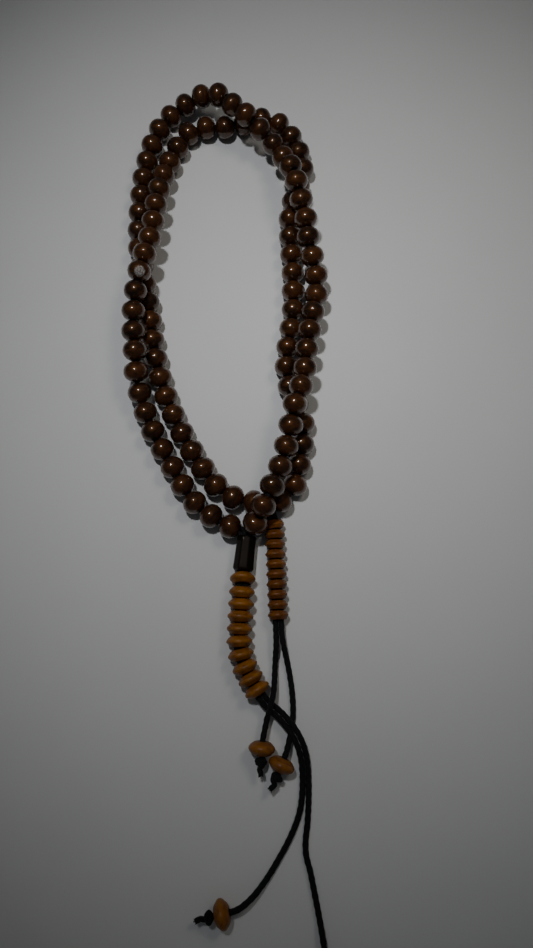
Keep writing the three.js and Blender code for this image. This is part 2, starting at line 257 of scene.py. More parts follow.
GURU_ACROSS = across_of(GURU_DIRECTION)


def in_guru(depth: float, side: int) -> np.ndarray:
    """A point of a cord inside the guru bead.

    Args:
        depth: length from the bead's top face.
        side: 1 or -1, the side of the pair of cords.

    Returns:
        The point, in millimetres.
    """
    return GURU_TOP + depth * GURU_DIRECTION + side * PAIR_OFFSET * GURU_ACROSS


def side_of_pair(spine: np.ndarray, side: int) -> list[np.ndarray]:
    """The points of a doubled stretch shifted to one cord of the pair.

    Args:
        spine: the points between the two cords.
        side: 1 or -1, the side of the pair of cords.

    Returns:
        The shifted points.
    """
    route = Route(spine)
    shifted = []
    for i, point in enumerate(route.points):
        shifted.append(point + side * PAIR_OFFSET * across_of(route.direction_at_point(i)))
    return shifted


def lifted(points: Sequence[Place], origin: np.ndarray, bore_height: float) -> np.ndarray:
    """Tail points in the layout.

    Args:
        points: X, Y and lift of each point, with a lift of 0 on the surface and 1 at the height of a bore.
        origin: the point that X and Y count from.
        bore_height: the height of the bores above the surface.

    Returns:
        The points, in millimetres.
    """
    seat, rise = CORD_RADIUS + SEAT_GAP, bore_height - CORD_RADIUS
    return np.array([[origin[0] + x, origin[1] + y, seat + lift * rise] for x, y, lift in points], float)


# ---------------------------------------------------------------- node trees


class Sheet:
    """Adds nodes to one node tree and joins them."""

    def __init__(self, tree: Tree) -> None:
        """Keeps the tree that nodes are added to."""
        self.tree = tree

    def add(self, kind: str, inputs: dict[Any, Any] | None = None, **settings: Any) -> bpy.types.Node:
        """Adds a node.

        Args:
            kind: the node's type name.
            inputs: sockets or plain values by the input's name or number.
            settings: the node's own properties.

        Returns:
            The new node.
        """
        node = self.tree.nodes.new(kind)
        for name, value in settings.items():
            setattr(node, name, value)
        for key, value in (inputs or {}).items():
            self.put(node.inputs[key], value)
        node.location = (180 * (len(self.tree.nodes) % 12), -220 * (len(self.tree.nodes) // 12))
        return node

    def put(self, socket: Socket, value: Any) -> None:
        """Joins a socket to an input, or sets the input's own value.

        Args:
            socket: the input.
            value: the socket to join, or a plain value.
        """
        if isinstance(value, Socket):
            self.tree.links.new(value, socket)
        else:
            socket.default_value = value

    def math(self, operation: str, first: Any, second: Any = 0.0, clamp: bool = False) -> Socket:
        """One step of arithmetic on numbers, in any kind of tree."""
        node = self.add("ShaderNodeMath", {0: first, 1: second}, operation=operation, use_clamp=clamp)
        return node.outputs[0]

    def vector(self, operation: str, first: Any, second: Any = (0.0, 0.0, 0.0)) -> Socket:
        """One step of arithmetic on vectors, in any kind of tree."""
        node = self.add("ShaderNodeVectorMath", {0: first, 1: second}, operation=operation)
        return node.outputs["Value" if operation in ("LENGTH", "DISTANCE", "DOT_PRODUCT") else "Vector"]

    def scaled(self, vector: Any, factor: Any) -> Socket:
        """A vector times a number."""
        node = self.add("ShaderNodeVectorMath", {"Vector": vector, "Scale": factor}, operation="SCALE")
        return node.outputs["Vector"]

    def noise(self, place: Any, scale: Any, detail: float = 2.0, roughness: float = 0.5) -> Socket:
        """Soft noise between 0 and 1 at a place."""
        node = self.add("ShaderNodeTexNoise", {
            "Vector": place, "Scale": scale, "Detail": detail, "Roughness": roughness,
        })
        return node.outputs[0]

    def remap(self, value: Any, low: float, high: float, to_low: float = 0.0, to_high: float = 1.0) -> Socket:
        """A value's range turned into another range, clamped."""
        node = self.add("ShaderNodeMapRange", {0: value, 1: low, 2: high, 3: to_low, 4: to_high}, clamp=True)
        return node.outputs[0]

    def mix(self, factor: Any, first: Any, second: Any) -> Socket:
        """Two colours mixed by a factor."""
        node = self.add("ShaderNodeMix", {0: factor, 6: first, 7: second}, data_type="RGBA")
        return node.outputs[2]

    def ramp(self, value: Any, slope: float, start: float) -> Socket:
        """A number that grows evenly with a value, from a start."""
        return self.add("ShaderNodeMath", {0: value, 1: slope, 2: start}, operation="MULTIPLY_ADD").outputs[0]

    def swing(self, value: Any, size: Any) -> Socket:
        """How far a value between 0 and 1 is from a half, times a size."""
        return self.math("MULTIPLY", self.math("SUBTRACT", value, 0.5), size)

    def read(self, name: str, kind: str) -> Socket:
        """An attribute of the geometry, in a geometry tree."""
        node = self.add("GeometryNodeInputNamedAttribute", {"Name": name}, data_type=kind)
        return node.outputs["Attribute"]

    def store(self, geometry: Any, name: str, value: Any, kind: str) -> Socket:
        """A value kept as an attribute of the geometry's points, in a geometry tree."""
        inputs = {"Geometry": geometry, "Name": name, "Value": value}
        return self.add("GeometryNodeStoreNamedAttribute", inputs, data_type=kind, domain="POINT").outputs[0]


def group_tree(
    name: str, kind: str, inputs: dict[str, tuple], outputs: dict[str, str],
) -> tuple[Sheet, dict[str, Socket], bpy.types.Node]:
    """Starts a node group with named sockets.

    Args:
        name: the group's name.
        kind: the tree's type.
        inputs: socket type and default value (or None) by name.
        outputs: socket type by name.

    Returns:
        The sheet, the input sockets by name, and the output node.
    """
    tree = bpy.data.node_groups.new(name, kind)
    for label, (socket_type, default) in inputs.items():
        socket = tree.interface.new_socket(label, in_out="INPUT", socket_type=socket_type)
        if default is not None:
            socket.default_value = default
    for label, socket_type in outputs.items():
        tree.interface.new_socket(label, in_out="OUTPUT", socket_type=socket_type)
    sheet = Sheet(tree)
    source = tree.nodes.new("NodeGroupInput")
    sink = tree.nodes.new("NodeGroupOutput")
    return sheet, {label: source.outputs[label] for label in inputs}, sink


FLOAT = "NodeSocketFloat"
VECTOR = "NodeSocketVector"
COLOUR = "NodeSocketColor"
GEOMETRY = "NodeSocketGeometry"
MATERIAL = "NodeSocketMaterial"
OBJECT = "NodeSocketObject"
INTEGER = "NodeSocketInt"


def grown(name: str, source: Piece, tree: Tree, values: dict[str, Any]) -> Piece:
    """Runs a Geometry Nodes tree on a source object and keeps the result as a plain mesh object.

    Args:
        name: the finished piece's name.
        source: the object that the tree starts from; it is removed.
        tree: the tree.
        values: the tree's input values by name.

    Returns:
        The finished piece, at the origin.
    """
    modifier = source.modifiers.new("Grown", "NODES")
    modifier.node_group = tree
    for item in tree.interface.items_tree:
        if item.item_type == "SOCKET" and item.in_out == "INPUT" and item.name in values:
            modifier[item.identifier] = values[item.name]
    depsgraph = bpy.context.evaluated_depsgraph_get()
    evaluated = source.evaluated_get(depsgraph)
    mesh = bpy.data.meshes.new_from_object(evaluated, preserve_all_data_layers=True, depsgraph=depsgraph)
    mesh.name = name
    source.modifiers.remove(modifier)
    bpy.data.objects.remove(source)
    return placed_piece(name, mesh)


def placed_piece(name: str, mesh: Mesh) -> Piece:
    """Puts a mesh into the scene as an object at the origin.

    Args:
        name: the piece's name.
        mesh: its mesh, in metres of the frame.

    Returns:
        The piece.
    """
    piece = bpy.data.objects.new(name, mesh)
    bpy.context.scene.collection.objects.link(piece)
    return piece


def finish_piece(piece: Piece, body: str, slot: Slot, *nodes: str) -> Piece:
    """Makes a piece ride on its body and stand for its CAD nodes.

    Args:
        piece: the finished piece.
        body: the CAD body that it rides on.
        slot: the record's material slot; not used.
        nodes: the CAD nodes that it stands for.

    Returns:
        The same piece.
    """
    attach(piece, body)
    if nodes:
        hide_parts(*nodes)
    LOG.info("%s: %d faces on %s", piece.name, len(piece.data.polygons), body)
    return piece


def keep_values(mesh: Mesh, name: str, values: Any) -> None:
    """Keeps a number, or a vector, for each point of a mesh.

    Args:
        mesh: the mesh.
        name: the attribute's name.
        values: one number or one row of three for each point.
    """
    rows = np.asarray(values, np.float32)
    kind, label = ("FLOAT_VECTOR", "vector") if rows.ndim == 2 else ("FLOAT", "value")
    mesh.attributes.new(name, kind, "POINT").data.foreach_set(label, rows.ravel())


# ---------------------------------------------------------------- shared shader groups


class SharedGroups:
    """The shader node groups that more than one finish uses, each built once.

    A way is how far a pattern is drawn out along each axis, and a shift is how far it moves from one piece
    to the next, so that no two pieces show the same marks.
    """

    BAND_WAY = (0.35, 1.5, 1.1)
    BAND_RANGE = (0.3, 0.72)
    FIBRE_WAY = (1.2, 9.0, 7.0)
    GRAIN_SHIFT = (37.0, 91.0, 53.0)
    PORE_WAY = (0.4, 1.0, 1.0)
    PORE_SIZE = 0.26
    PORE_CLUSTERS = 0.35
    PORE_SHIFT = (7.0, 3.0, 5.0)
    WEAR_SCALE = 900.0
    WEAR_PATCHES = 0.8
    WEAR_RANGE = (0.35, 0.7)
    WEAR_SHIFT = (11.0, 17.0, 29.0)

    def __init__(self) -> None:
        """Builds the groups."""
        self.grain = self._grain()
        self.pits = self._pits()
        self.wear = self._wear()

    def _grain(self) -> Tree:
        """Grain of a turned piece: bands of tone along one way of the wood, and fine fibres in them.

        Returns:
            The group.
        """
        sheet, given, sink = group_tree("Turned wood grain", "ShaderNodeTree", {
            "Place": (VECTOR, None), "Piece": (FLOAT, 0.0), "Dark": (COLOUR, None), "Light": (COLOUR, None),
            "Bands": (FLOAT, 300.0), "Tone Spread": (FLOAT, 0.3), "Streaks": (FLOAT, 0.55),
        }, {"Colour": COLOUR, "Fibre": FLOAT})
        scaled = sheet.scaled(given["Place"], given["Bands"])
        shift = sheet.scaled(self.GRAIN_SHIFT, given["Piece"])
        along = sheet.vector("ADD", sheet.vector("MULTIPLY", scaled, self.BAND_WAY), shift)
        band = sheet.noise(along, 1.0, 3.0, 0.55)
        fibre = sheet.noise(sheet.vector("MULTIPLY", along, self.FIBRE_WAY), 1.0, 3.0, 0.6)
        tone = sheet.add("ShaderNodeTexWhiteNoise", {"W": given["Piece"]}, noise_dimensions="1D")
        spread = sheet.swing(tone.outputs["Value"], given["Tone Spread"])
        streak = sheet.swing(fibre, given["Streaks"])
        change = sheet.math("ADD", spread, streak)
        level = sheet.math("ADD", sheet.remap(band, *self.BAND_RANGE), change, clamp=True)
        sheet.put(sink.inputs["Colour"], sheet.mix(level, given["Dark"], given["Light"]))
        sheet.put(sink.inputs["Fibre"], fibre)
        return sheet.tree

    def _pits(self) -> Tree:
        """Open pores and small knocks, as a mask and a height.

        Returns:
            The group.
        """
        sheet, given, sink = group_tree("Pores and knocks", "ShaderNodeTree", {
            "Place": (VECTOR, None), "Piece": (FLOAT, 0.0), "Pore Scale": (FLOAT, 1400.0),
            "Share": (FLOAT, 0.5),
        }, {"Mask": FLOAT, "Height": FLOAT})
        shift = sheet.scaled(self.PORE_SHIFT, given["Piece"])
        place = sheet.vector("ADD", sheet.scaled(given["Place"], given["Pore Scale"]), shift)
        stretched = sheet.vector("MULTIPLY", place, self.PORE_WAY)
        pore = sheet.add("ShaderNodeTexVoronoi", {"Vector": stretched, "Scale": 1.0}).outputs["Distance"]
        where = sheet.math("LESS_THAN", sheet.noise(place, self.PORE_CLUSTERS, 2.0), given["Share"])
        mask = sheet.math("MULTIPLY", sheet.remap(pore, 0.0, self.PORE_SIZE, 1.0, 0.0), where)
        sheet.put(sink.inputs["Mask"], mask)
        sheet.put(sink.inputs["Height"], sheet.math("MULTIPLY", mask, -1.0))
        return sheet.tree

    def _wear(self) -> Tree:
        """Rubbed edges: the piece's own edge attribute broken up by noise.

        Returns:
            The group.
        """
        sheet, given, sink = group_tree("Edge wear", "ShaderNodeTree", {
            "Edge": (FLOAT, 0.0), "Place": (VECTOR, None), "Piece": (FLOAT, 0.0), "Amount": (FLOAT, 0.5),
        }, {"Mask": FLOAT})
        shift = sheet.scaled(self.WEAR_SHIFT, given["Piece"])
        place = sheet.vector("ADD", sheet.scaled(given["Place"], self.WEAR_SCALE), shift)
        broken = sheet.remap(sheet.noise(place, self.WEAR_PATCHES, 4.0, 0.7), *self.WEAR_RANGE)
        edge = sheet.math("MULTIPLY", given["Edge"], broken)
        sheet.put(sink.inputs["Mask"], sheet.math("MULTIPLY", edge, given["Amount"], clamp=True))
        return sheet.tree


@dataclass
class Surface:
    """A material being built: its sheet, its shader and what it reads of the piece."""

    name: str
    sheet: Sheet = field(init=False)
    shader: bpy.types.Node = field(init=False)
    material: Material = field(init=False)

    def __post_init__(self) -> None:
        """Starts the material with its shader and output."""
        self.material = bpy.data.materials.new(self.name)
        self.material.use_nodes = True
        tree = self.material.node_tree
        tree.nodes.clear()
        self.sheet = Sheet(tree)
        self.shader = self.sheet.add("ShaderNodeBsdfPrincipled")
        self.sheet.add("ShaderNodeOutputMaterial", {"Surface": self.shader.outputs[0]})

    def attribute(self, name: str, output: str = "Fac") -> Socket:
        """Reads an attribute of the piece's mesh."""
        return self.sheet.add("ShaderNodeAttribute", attribute_name=name).outputs[output]

    def group(self, tree: Tree, inputs: dict[str, Any]) -> bpy.types.Node:
        """Places a shared group in this material with its own values.

        Args:
            tree: the group.
            inputs: sockets or plain values by the input's name.

        Returns:
            The group's node.
        """
        node = self.sheet.add("ShaderNodeGroup", node_tree=tree)
        for label, value in inputs.items():
            self.sheet.put(node.inputs[label], value)
        return node

    def wood(
        self, groups: SharedGroups, grain: dict[str, Any], pits: dict[str, Any], rubbing: float,
    ) -> list[bpy.types.Node]:
        """Places the shared wood groups, each on the piece's own place from the lathe.

        Args:
            groups: the shared groups.
            grain: the grain's own values.
            pits: the pores' own values.
            rubbing: how strongly the edges are worn.

        Returns:
            The grain, pore and wear nodes.
        """
        common = {"Place": self.attribute("turned", "Vector"), "Piece": self.attribute("piece")}
        wear = {"Edge": self.attribute("edge"), "Amount": rubbing}
        chosen = ((groups.grain, grain), (groups.pits, pits), (groups.wear, wear))
        return [self.group(tree, {**common, **values}) for tree, values in chosen]

    def bump(self, height: Any, strength: float, distance: float) -> None:
        """Joins a height to the shader's normal.

        Args:
            height: the height socket.
            strength: the bump's strength.
            distance: the height of 1, in metres.
        """
        inputs = {"Height": height, "Strength": strength, "Distance": distance}
        self.feed(Normal=self.sheet.add("ShaderNodeBump", inputs).outputs["Normal"])

    def feed(self, **values: Any) -> None:
        """Joins sockets or sets plain values on the shader's inputs, with spaces as underscores."""
        for name, value in values.items():
            self.sheet.put(self.shader.inputs[name.replace("_", " ")], value)


# ---------------------------------------------------------------- finishes


@dataclass(frozen=True)
class VarnishedWood:
    """Dark wood under glossy varnish, with grain bands, pores and one tone for each piece.

    The worn fields belong to the one place where the varnish is rubbed off, in metres, if there is one.
    """

    name: str
    dark: Colour
    light: Colour
    bands: float = 230.0
    tone_spread: float = 0.45
    streaks: float = 2.0
    roughness: float = 0.3
    fibre_roughness: float = 0.25
    pore_scale: float = 1500.0
    pore_share: float = 0.46
    pore_shade: float = 0.75
    rubbing: float = 0.5
    varnish: float = 1.0
    varnish_in_pores: float = -0.7
    varnish_roughness: float = 0.07
    varnish_ior: float = 1.52
    depth_gloss: float = 0.5
    depth_tint: Colour = (1.0, 0.42, 0.14, 1.0)
    fibre_height: float = 0.4
    relief: float = 0.35
    relief_depth: float = 0.00008
    worn_place: tuple[float, float, float] | None = None
    worn_radius: float = 0.0023
    worn_fade: float = 0.0004
    worn_raggedness: float = 0.0014
    worn_outline_scale: float = 900.0
    worn_mottle_scale: float = 1900.0
    worn_roughness: float = 0.45
    worn_colour: Colour = (0.34, 0.33, 0.32, 1.0)

    def material(self, groups: SharedGroups) -> Material:
        """Builds the material.

        Args:
            groups: the shared shader groups.

        Returns:
            The material.
        """
        surface = Surface(self.name)
        sheet = surface.sheet
        grain, pits, wear = surface.wood(groups, {
            "Dark": self.dark, "Light": self.light, "Bands": self.bands, "Tone Spread": self.tone_spread,
            "Streaks": self.streaks,
        }, {"Pore Scale": self.pore_scale, "Share": self.pore_share}, self.rubbing)
        fibre = grain.outputs["Fibre"]
        shade = sheet.math("MULTIPLY", pits.outputs["Mask"], self.pore_shade)
        colour = sheet.mix(shade, grain.outputs["Colour"], self.dark)
        colour = sheet.mix(wear.outputs["Mask"], colour, self.light)
        rough = sheet.ramp(fibre, self.fibre_roughness, self.roughness)
        coat = sheet.ramp(pits.outputs["Mask"], self.varnish_in_pores, self.varnish)
        if self.worn_place is not None:
            spot = self._worn_spot(sheet)
            colour = sheet.mix(spot, colour, self.worn_colour)
            rough = sheet.math("ADD", rough, sheet.math("MULTIPLY", spot, self.worn_roughness), clamp=True)
            coat = sheet.math("MULTIPLY", coat, sheet.math("SUBTRACT", 1.0, spot), clamp=True)
        height = sheet.math("ADD", pits.outputs["Height"], sheet.math("MULTIPLY", fibre, self.fibre_height))
        surface.bump(height, self.relief, self.relief_depth)
        surface.feed(
            Base_Color=colour, Roughness=rough, Coat_Weight=coat, Coat_Roughness=self.varnish_roughness,
            Coat_IOR=self.varnish_ior, Specular_IOR_Level=self.depth_gloss, Specular_Tint=self.depth_tint,
        )
        return surface.material

    def _worn_spot(self, sheet: Sheet) -> Socket:
        """The mask of the one place where the varnish is rubbed off.

        Args:
            sheet: the material's sheet.

        Returns:
            The mask's socket.
        """
        here = sheet.add("ShaderNodeTexCoord").outputs["Object"]
        away = sheet.vector("DISTANCE", here, self.worn_place)
        outline = sheet.noise(here, self.worn_outline_scale, 4.0, 0.7)
        ragged = sheet.math("ADD", away, sheet.math("MULTIPLY", outline, self.worn_raggedness))
        disc = sheet.remap(ragged, self.worn_radius, self.worn_radius + self.worn_fade, 1.0, 0.0)
        mottle = sheet.remap(sheet.noise(here, self.worn_mottle_scale, 4.0, 0.75), 0.42, 0.56, 0.2, 1.0)
        return sheet.math("MULTIPLY", disc, mottle)


@dataclass(frozen=True)
class WaxedWood:
    """Ochre waxed wood of the counters: fine grain, dark specks, rubbed rims, and darker in patches towards
    the bore.
    """

    name: str
    dark: Colour = (0.13, 0.038, 0.002, 1.0)
    light: Colour = (0.29, 0.098, 0.005, 1.0)
    rubbed: Colour = (0.36, 0.15, 0.013, 1.0)
    # The dark colour put into the pores and, in patches, onto the faces towards the bore
    pore_and_bore_dark: Colour = (0.045, 0.015, 0.003, 1.0)
    bands: float = 420.0
    tone_spread: float = 0.35
    roughness: float = 0.34
    fibre_roughness: float = 0.3
    pore_scale: float = 2600.0
    pore_share: float = 0.5
    rubbing: float = 0.7
    pore_and_bore_darkening: float = 0.8
    bore_patch_scale: float = 1500.0
    bore_roughness: float = 0.2
    wax: float = 0.2
    wax_roughness: float = 0.25
    wax_ior: float = 1.4
    depth_gloss: float = 0.35
    fibre_height: float = 0.6
    relief: float = 0.45
    relief_depth: float = 0.00006
    bore_patches_from: float = 0.3
    bore_patches_to: float = 0.62
    least_bore_darkening: float = 0.25

    def material(self, groups: SharedGroups) -> Material:
        """Builds the material.

        Args:
            groups: the shared shader groups.

        Returns:
            The material.
        """
        surface = Surface(self.name)
        sheet = surface.sheet
        grain, pits, wear = surface.wood(groups, {
            "Dark": self.dark, "Light": self.light, "Bands": self.bands, "Tone Spread": self.tone_spread,
        }, {"Pore Scale": self.pore_scale, "Share": self.pore_share}, self.rubbing)
        fibre = grain.outputs["Fibre"]
        shade = sheet.math("MULTIPLY", pits.outputs["Mask"], self.pore_and_bore_darkening)
        colour = sheet.mix(shade, grain.outputs["Colour"], self.pore_and_bore_dark)
        colour = sheet.mix(wear.outputs["Mask"], colour, self.rubbed)
        # Darker in patches towards the bore, following the hub mask
        patches = sheet.noise(surface.attribute("turned", "Vector"), self.bore_patch_scale, 3.0, 0.6)
        patches = sheet.remap(patches, self.bore_patches_from, self.bore_patches_to, self.least_bore_darkening, 1.0)
        near_bore = sheet.math("MULTIPLY", surface.attribute("hub"), patches)
        colour = sheet.mix(sheet.math("MULTIPLY", near_bore, self.pore_and_bore_darkening), colour, self.pore_and_bore_dark)
        rough = sheet.ramp(fibre, self.fibre_roughness, self.roughness)
        rough = sheet.math("ADD", rough, sheet.math("MULTIPLY", near_bore, self.bore_roughness))
        height = sheet.math("ADD", pits.outputs["Height"], sheet.math("MULTIPLY", fibre, self.fibre_height))
        surface.bump(height, self.relief, self.relief_depth)
        surface.feed(
            Base_Color=colour, Roughness=rough, Coat_Weight=self.wax, Coat_Roughness=self.wax_roughness,
            Coat_IOR=self.wax_ior, Specular_IOR_Level=self.depth_gloss,
        )
        return surface.material


@dataclass(frozen=True)
class BraidedFibre:
    """Black braided cord: lozenges of slanting fibres with painted shade in the hollows between them, so that
    they look paler where they stand proud, and with lint.
    """

    name: str
    # Painted shade: the near-black colour put into the hollows between plaits and fibres
    hollow_shade: Colour = (0.002, 0.002, 0.0023, 1.0)
    raised: Colour = (0.02, 0.0195, 0.0205, 1.0)
    lint: Colour = (0.06, 0.058, 0.056, 1.0)
    fibres_along: float = 9000.0
    fibres_around: float = 14.0
    fibre_share: float = 0.35
    fluff_scale: float = 5200.0
    lint_scale: float = 1700.0
    lint_shade: float = 0.55
    sheen: float = 0.06
    sheen_roughness: float = 0.4
    depth_gloss: float = 0.3
    relief: float = 0.6
    relief_depth: float = 0.00007

    def material(self) -> Material:
        """Builds the material.

        Returns:
            The material.
        """
        surface = Surface(self.name)
        sheet = surface.sheet
        parts = sheet.add("ShaderNodeSeparateXYZ", {0: surface.attribute("around", "Vector")}).outputs
        angle = sheet.math("ARCTAN2", parts[1], parts[0])
        plait = surface.attribute("plait")
        turned = sheet.math("MULTIPLY", angle, self.fibres_around)
        lean = sheet.math("MULTIPLY", turned, sheet.math("SIGN", plait))
        travel = sheet.math("MULTIPLY", surface.attribute("along"), self.fibres_along)
        fibre = sheet.math("SINE", sheet.math("ADD", travel, lean))
        here = sheet.add("ShaderNodeTexCoord").outputs["Object"]
        fluff = sheet.noise(here, self.fluff_scale, 4.0, 0.7)
        proud = sheet.math("ADD", plait, sheet.math("MULTIPLY", fibre, self.fibre_share))
        level = sheet.math("MULTIPLY", sheet.remap(proud, -0.9, 1.3), fluff)
        # Painted shade: the hollows between plaits and fibres are darkened towards the near-black shade
        # colour, so the raised parts look paler
        colour = sheet.mix(level, self.hollow_shade, self.raised)
        specks = sheet.remap(sheet.noise(here, self.lint_scale, 5.0, 0.8), 0.66, 0.74)
        colour = sheet.mix(sheet.math("MULTIPLY", specks, self.lint_shade), colour, self.lint)
        height = sheet.math("ADD", sheet.math("MULTIPLY", fibre, 0.5), sheet.math("MULTIPLY", fluff, 0.8))
        surface.bump(height, self.relief, self.relief_depth)
        surface.feed(
            Base_Color=colour, Roughness=sheet.remap(fluff, 0.2, 0.8, 0.72, 0.95), Sheen_Weight=self.sheen,
            Sheen_Roughness=self.sheen_roughness, Specular_IOR_Level=self.depth_gloss,
        )
        return surface.material


@dataclass(frozen=True)
class FloorPaint:
    """Plain pale surface that the mala lies on, with a faint cloud of tone."""

    name: str = "Plain floor"
    dark: Colour = (0.70, 0.70, 0.695, 1.0)
    light: Colour = (0.74, 0.74, 0.735, 1.0)
    cloud_scale: float = 30.0
    roughness: float = 0.75
    depth_gloss: float = 0.2

    def material(self) -> Material:
        """Builds the material.

        Returns:
            The material.
        """
        surface = Surface(self.name)
        sheet = surface.sheet
        cloud = sheet.noise(sheet.add("ShaderNodeTexCoord").outputs["Object"], self.cloud_scale, 3.0, 0.5)
        tone = sheet.mix(cloud, self.dark, self.light)
        surface.feed(Base_Color=tone, Roughness=self.roughness, Specular_IOR_Level=self.depth_gloss)
        return surface.material


# ---------------------------------------------------------------- geometry trees


def threading_tree() -> Tree:
    """Beads threaded on a cord: one bead on each point, turned to the cord, dented a little by hand work.

    Returns:
        The tree.
    """
    sheet, given, sink = group_tree("Threaded beads", "GeometryNodeTree", {
        "Geometry": (GEOMETRY, None), "Bead": (OBJECT, None), "Finish": (MATERIAL, None),
        "Dent Depth": (FLOAT, 0.0001), "Dent Scale": (FLOAT, 260.0), "Dent Seed": (FLOAT, 4.0),
    }, {"Geometry": GEOMETRY})
    points = sheet.add("GeometryNodeMeshToPoints", {"Mesh": given["Geometry"]}).outputs[0]
    bead = sheet.add("GeometryNodeObjectInfo", {"Object": given["Bead"]}).outputs["Geometry"]
    kept = sheet.store(bead, "turned", sheet.add("GeometryNodeInputPosition").outputs[0], "FLOAT_VECTOR")
    threaded = sheet.add("FunctionNodeAlignRotationToVector", {
        "Vector": sheet.read("heading", "FLOAT_VECTOR"),
    }, axis="Y").outputs[0]
    spin = sheet.add("FunctionNodeAxisAngleToRotation", {
        "Axis": (0.0, 1.0, 0.0), "Angle": sheet.read("spin", "FLOAT"),
    }).outputs[0]
    turn = sheet.add("FunctionNodeRotateRotation", {
        "Rotation": threaded, "Rotate By": spin,
    }, rotation_space="LOCAL").outputs[0]
    laid = sheet.add("GeometryNodeInstanceOnPoints", {
        "Points": points, "Instance": kept, "Rotation": turn, "Scale": sheet.read("size", "FLOAT_VECTOR"),
    }).outputs[0]
    real = sheet.add("GeometryNodeRealizeInstances", {"Geometry": laid}).outputs[0]
    sample = sheet.add("ShaderNodeTexNoise", {
        "Vector": sheet.add("GeometryNodeInputPosition").outputs[0], "W": given["Dent Seed"],
        "Scale": given["Dent Scale"], "Detail": 2.0,
    }, noise_dimensions="4D").outputs[0]
    normal = sheet.add("GeometryNodeInputNormal").outputs[0]
    shift = sheet.scaled(normal, sheet.swing(sample, given["Dent Depth"]))
    dented = sheet.add("GeometryNodeSetPosition", {"Geometry": real, "Offset": shift}).outputs[0]
    dressed = sheet.add("GeometryNodeSetMaterial", {"Geometry": dented, "Material": given["Finish"]})
    sheet.put(sink.inputs["Geometry"], dressed.outputs[0])
    return sheet.tree


def braiding_tree() -> Tree:
    """A braided cord along a line: a tube whose lozenges stand proud in staggered rows.

    Returns:
        The tree.
    """
    sheet, given, sink = group_tree("Braided cord", "GeometryNodeTree", {
        "Geometry": (GEOMETRY, None), "Radius": (FLOAT, 0.00065), "Sides": (INTEGER, 16),
        "Plaits": (FLOAT, 4.0), "Plait Pitch": (FLOAT, 0.0019), "Relief": (FLOAT, 0.00005),
        "Finish": (MATERIAL, None),
    }, {"Geometry": GEOMETRY})
    curve = sheet.add("GeometryNodeMeshToCurve", {"Mesh": given["Geometry"]}).outputs[0]
    reach = sheet.add("GeometryNodeSplineParameter").outputs["Length"]
    curve = sheet.store(curve, "along", reach, "FLOAT")
    ring = sheet.add("GeometryNodeCurvePrimitiveCircle", {
        "Resolution": given["Sides"], "Radius": given["Radius"],
    }).outputs[0]
    radial = sheet.vector("NORMALIZE", sheet.add("GeometryNodeInputPosition").outputs[0])
    ring = sheet.store(ring, "around", radial, "FLOAT_VECTOR")
    tube = sheet.add("GeometryNodeCurveToMesh", {
        "Curve": curve, "Profile Curve": ring, "Fill Caps": True,
    }).outputs[0]
    parts = sheet.add("ShaderNodeSeparateXYZ", {0: sheet.read("around", "FLOAT_VECTOR")}).outputs
    angle = sheet.math("ARCTAN2", parts[1], parts[0])
    rows = sheet.math("DIVIDE", sheet.read("along", "FLOAT"), given["Plait Pitch"])
    beside = sheet.math("COSINE", sheet.math("MULTIPLY", angle, given["Plaits"]))
    ahead = sheet.math("COSINE", sheet.math("MULTIPLY", rows, 2 * math.pi))
    plait = sheet.math("MULTIPLY", beside, ahead)
    tube = sheet.store(tube, "plait", plait, "FLOAT")
    normal = sheet.add("GeometryNodeInputNormal").outputs[0]
    shift = sheet.scaled(normal, sheet.math("MULTIPLY", plait, given["Relief"]))
    tube = sheet.add("GeometryNodeSetPosition", {"Geometry": tube, "Offset": shift}).outputs[0]
    real = sheet.add("GeometryNodeRealizeInstances", {"Geometry": tube}).outputs[0]
    dressed = sheet.add("GeometryNodeSetMaterial", {"Geometry": real, "Material": given["Finish"]})
    sheet.put(sink.inputs["Geometry"], dressed.outputs[0])
    return sheet.tree


def line_object(points: np.ndarray) -> Piece:
    """A chain of edges for a tree to start from.

    Args:
        points: the points, in metres.

    Returns:
        The line, which grown() removes.
    """
    mesh = bpy.data.meshes.new("line")
    edges = [(i, i + 1) for i in range(len(points) - 1)]
    mesh.from_pydata([tuple(point) for point in points], edges, [])
    return placed_piece("line", mesh)


def smooth(piece: Piece) -> Piece:
    """Shades a piece smooth."""
    piece.data.shade_smooth()
    return piece


@dataclass
class Braider:
    """Makes braided cord along routes. Its lengths are millimetres."""

    tree: Tree
    finish: Material
    ring_step: float = 0.24
    plaits: float = 4.0
    pitch: float = 2.3
    relief: float = 0.055
    lowest: float = 0.94

    def cord(
        self, name: str, points: np.ndarray, radius: float = CORD_DRAWN_RADIUS, sides: int = 16,
    ) -> Piece:
        """One cord along points in millimetres.

        Args:
            name: the piece's name.
            points: the points of its centreline, close together.
            radius: its radius.
            sides: how many sides its tube has.

        Returns:
            The finished cord.
        """
        return smooth(grown(name, line_object(in_frame(points)), self.tree, {
            "Radius": radius * MM,
            "Sides": sides,
            "Plaits": self.plaits,
            "Plait Pitch": self.pitch * MM,
            "Relief": self.relief * MM,
            "Finish": self.finish,
        }))


# ---------------------------------------------------------------- turned pieces


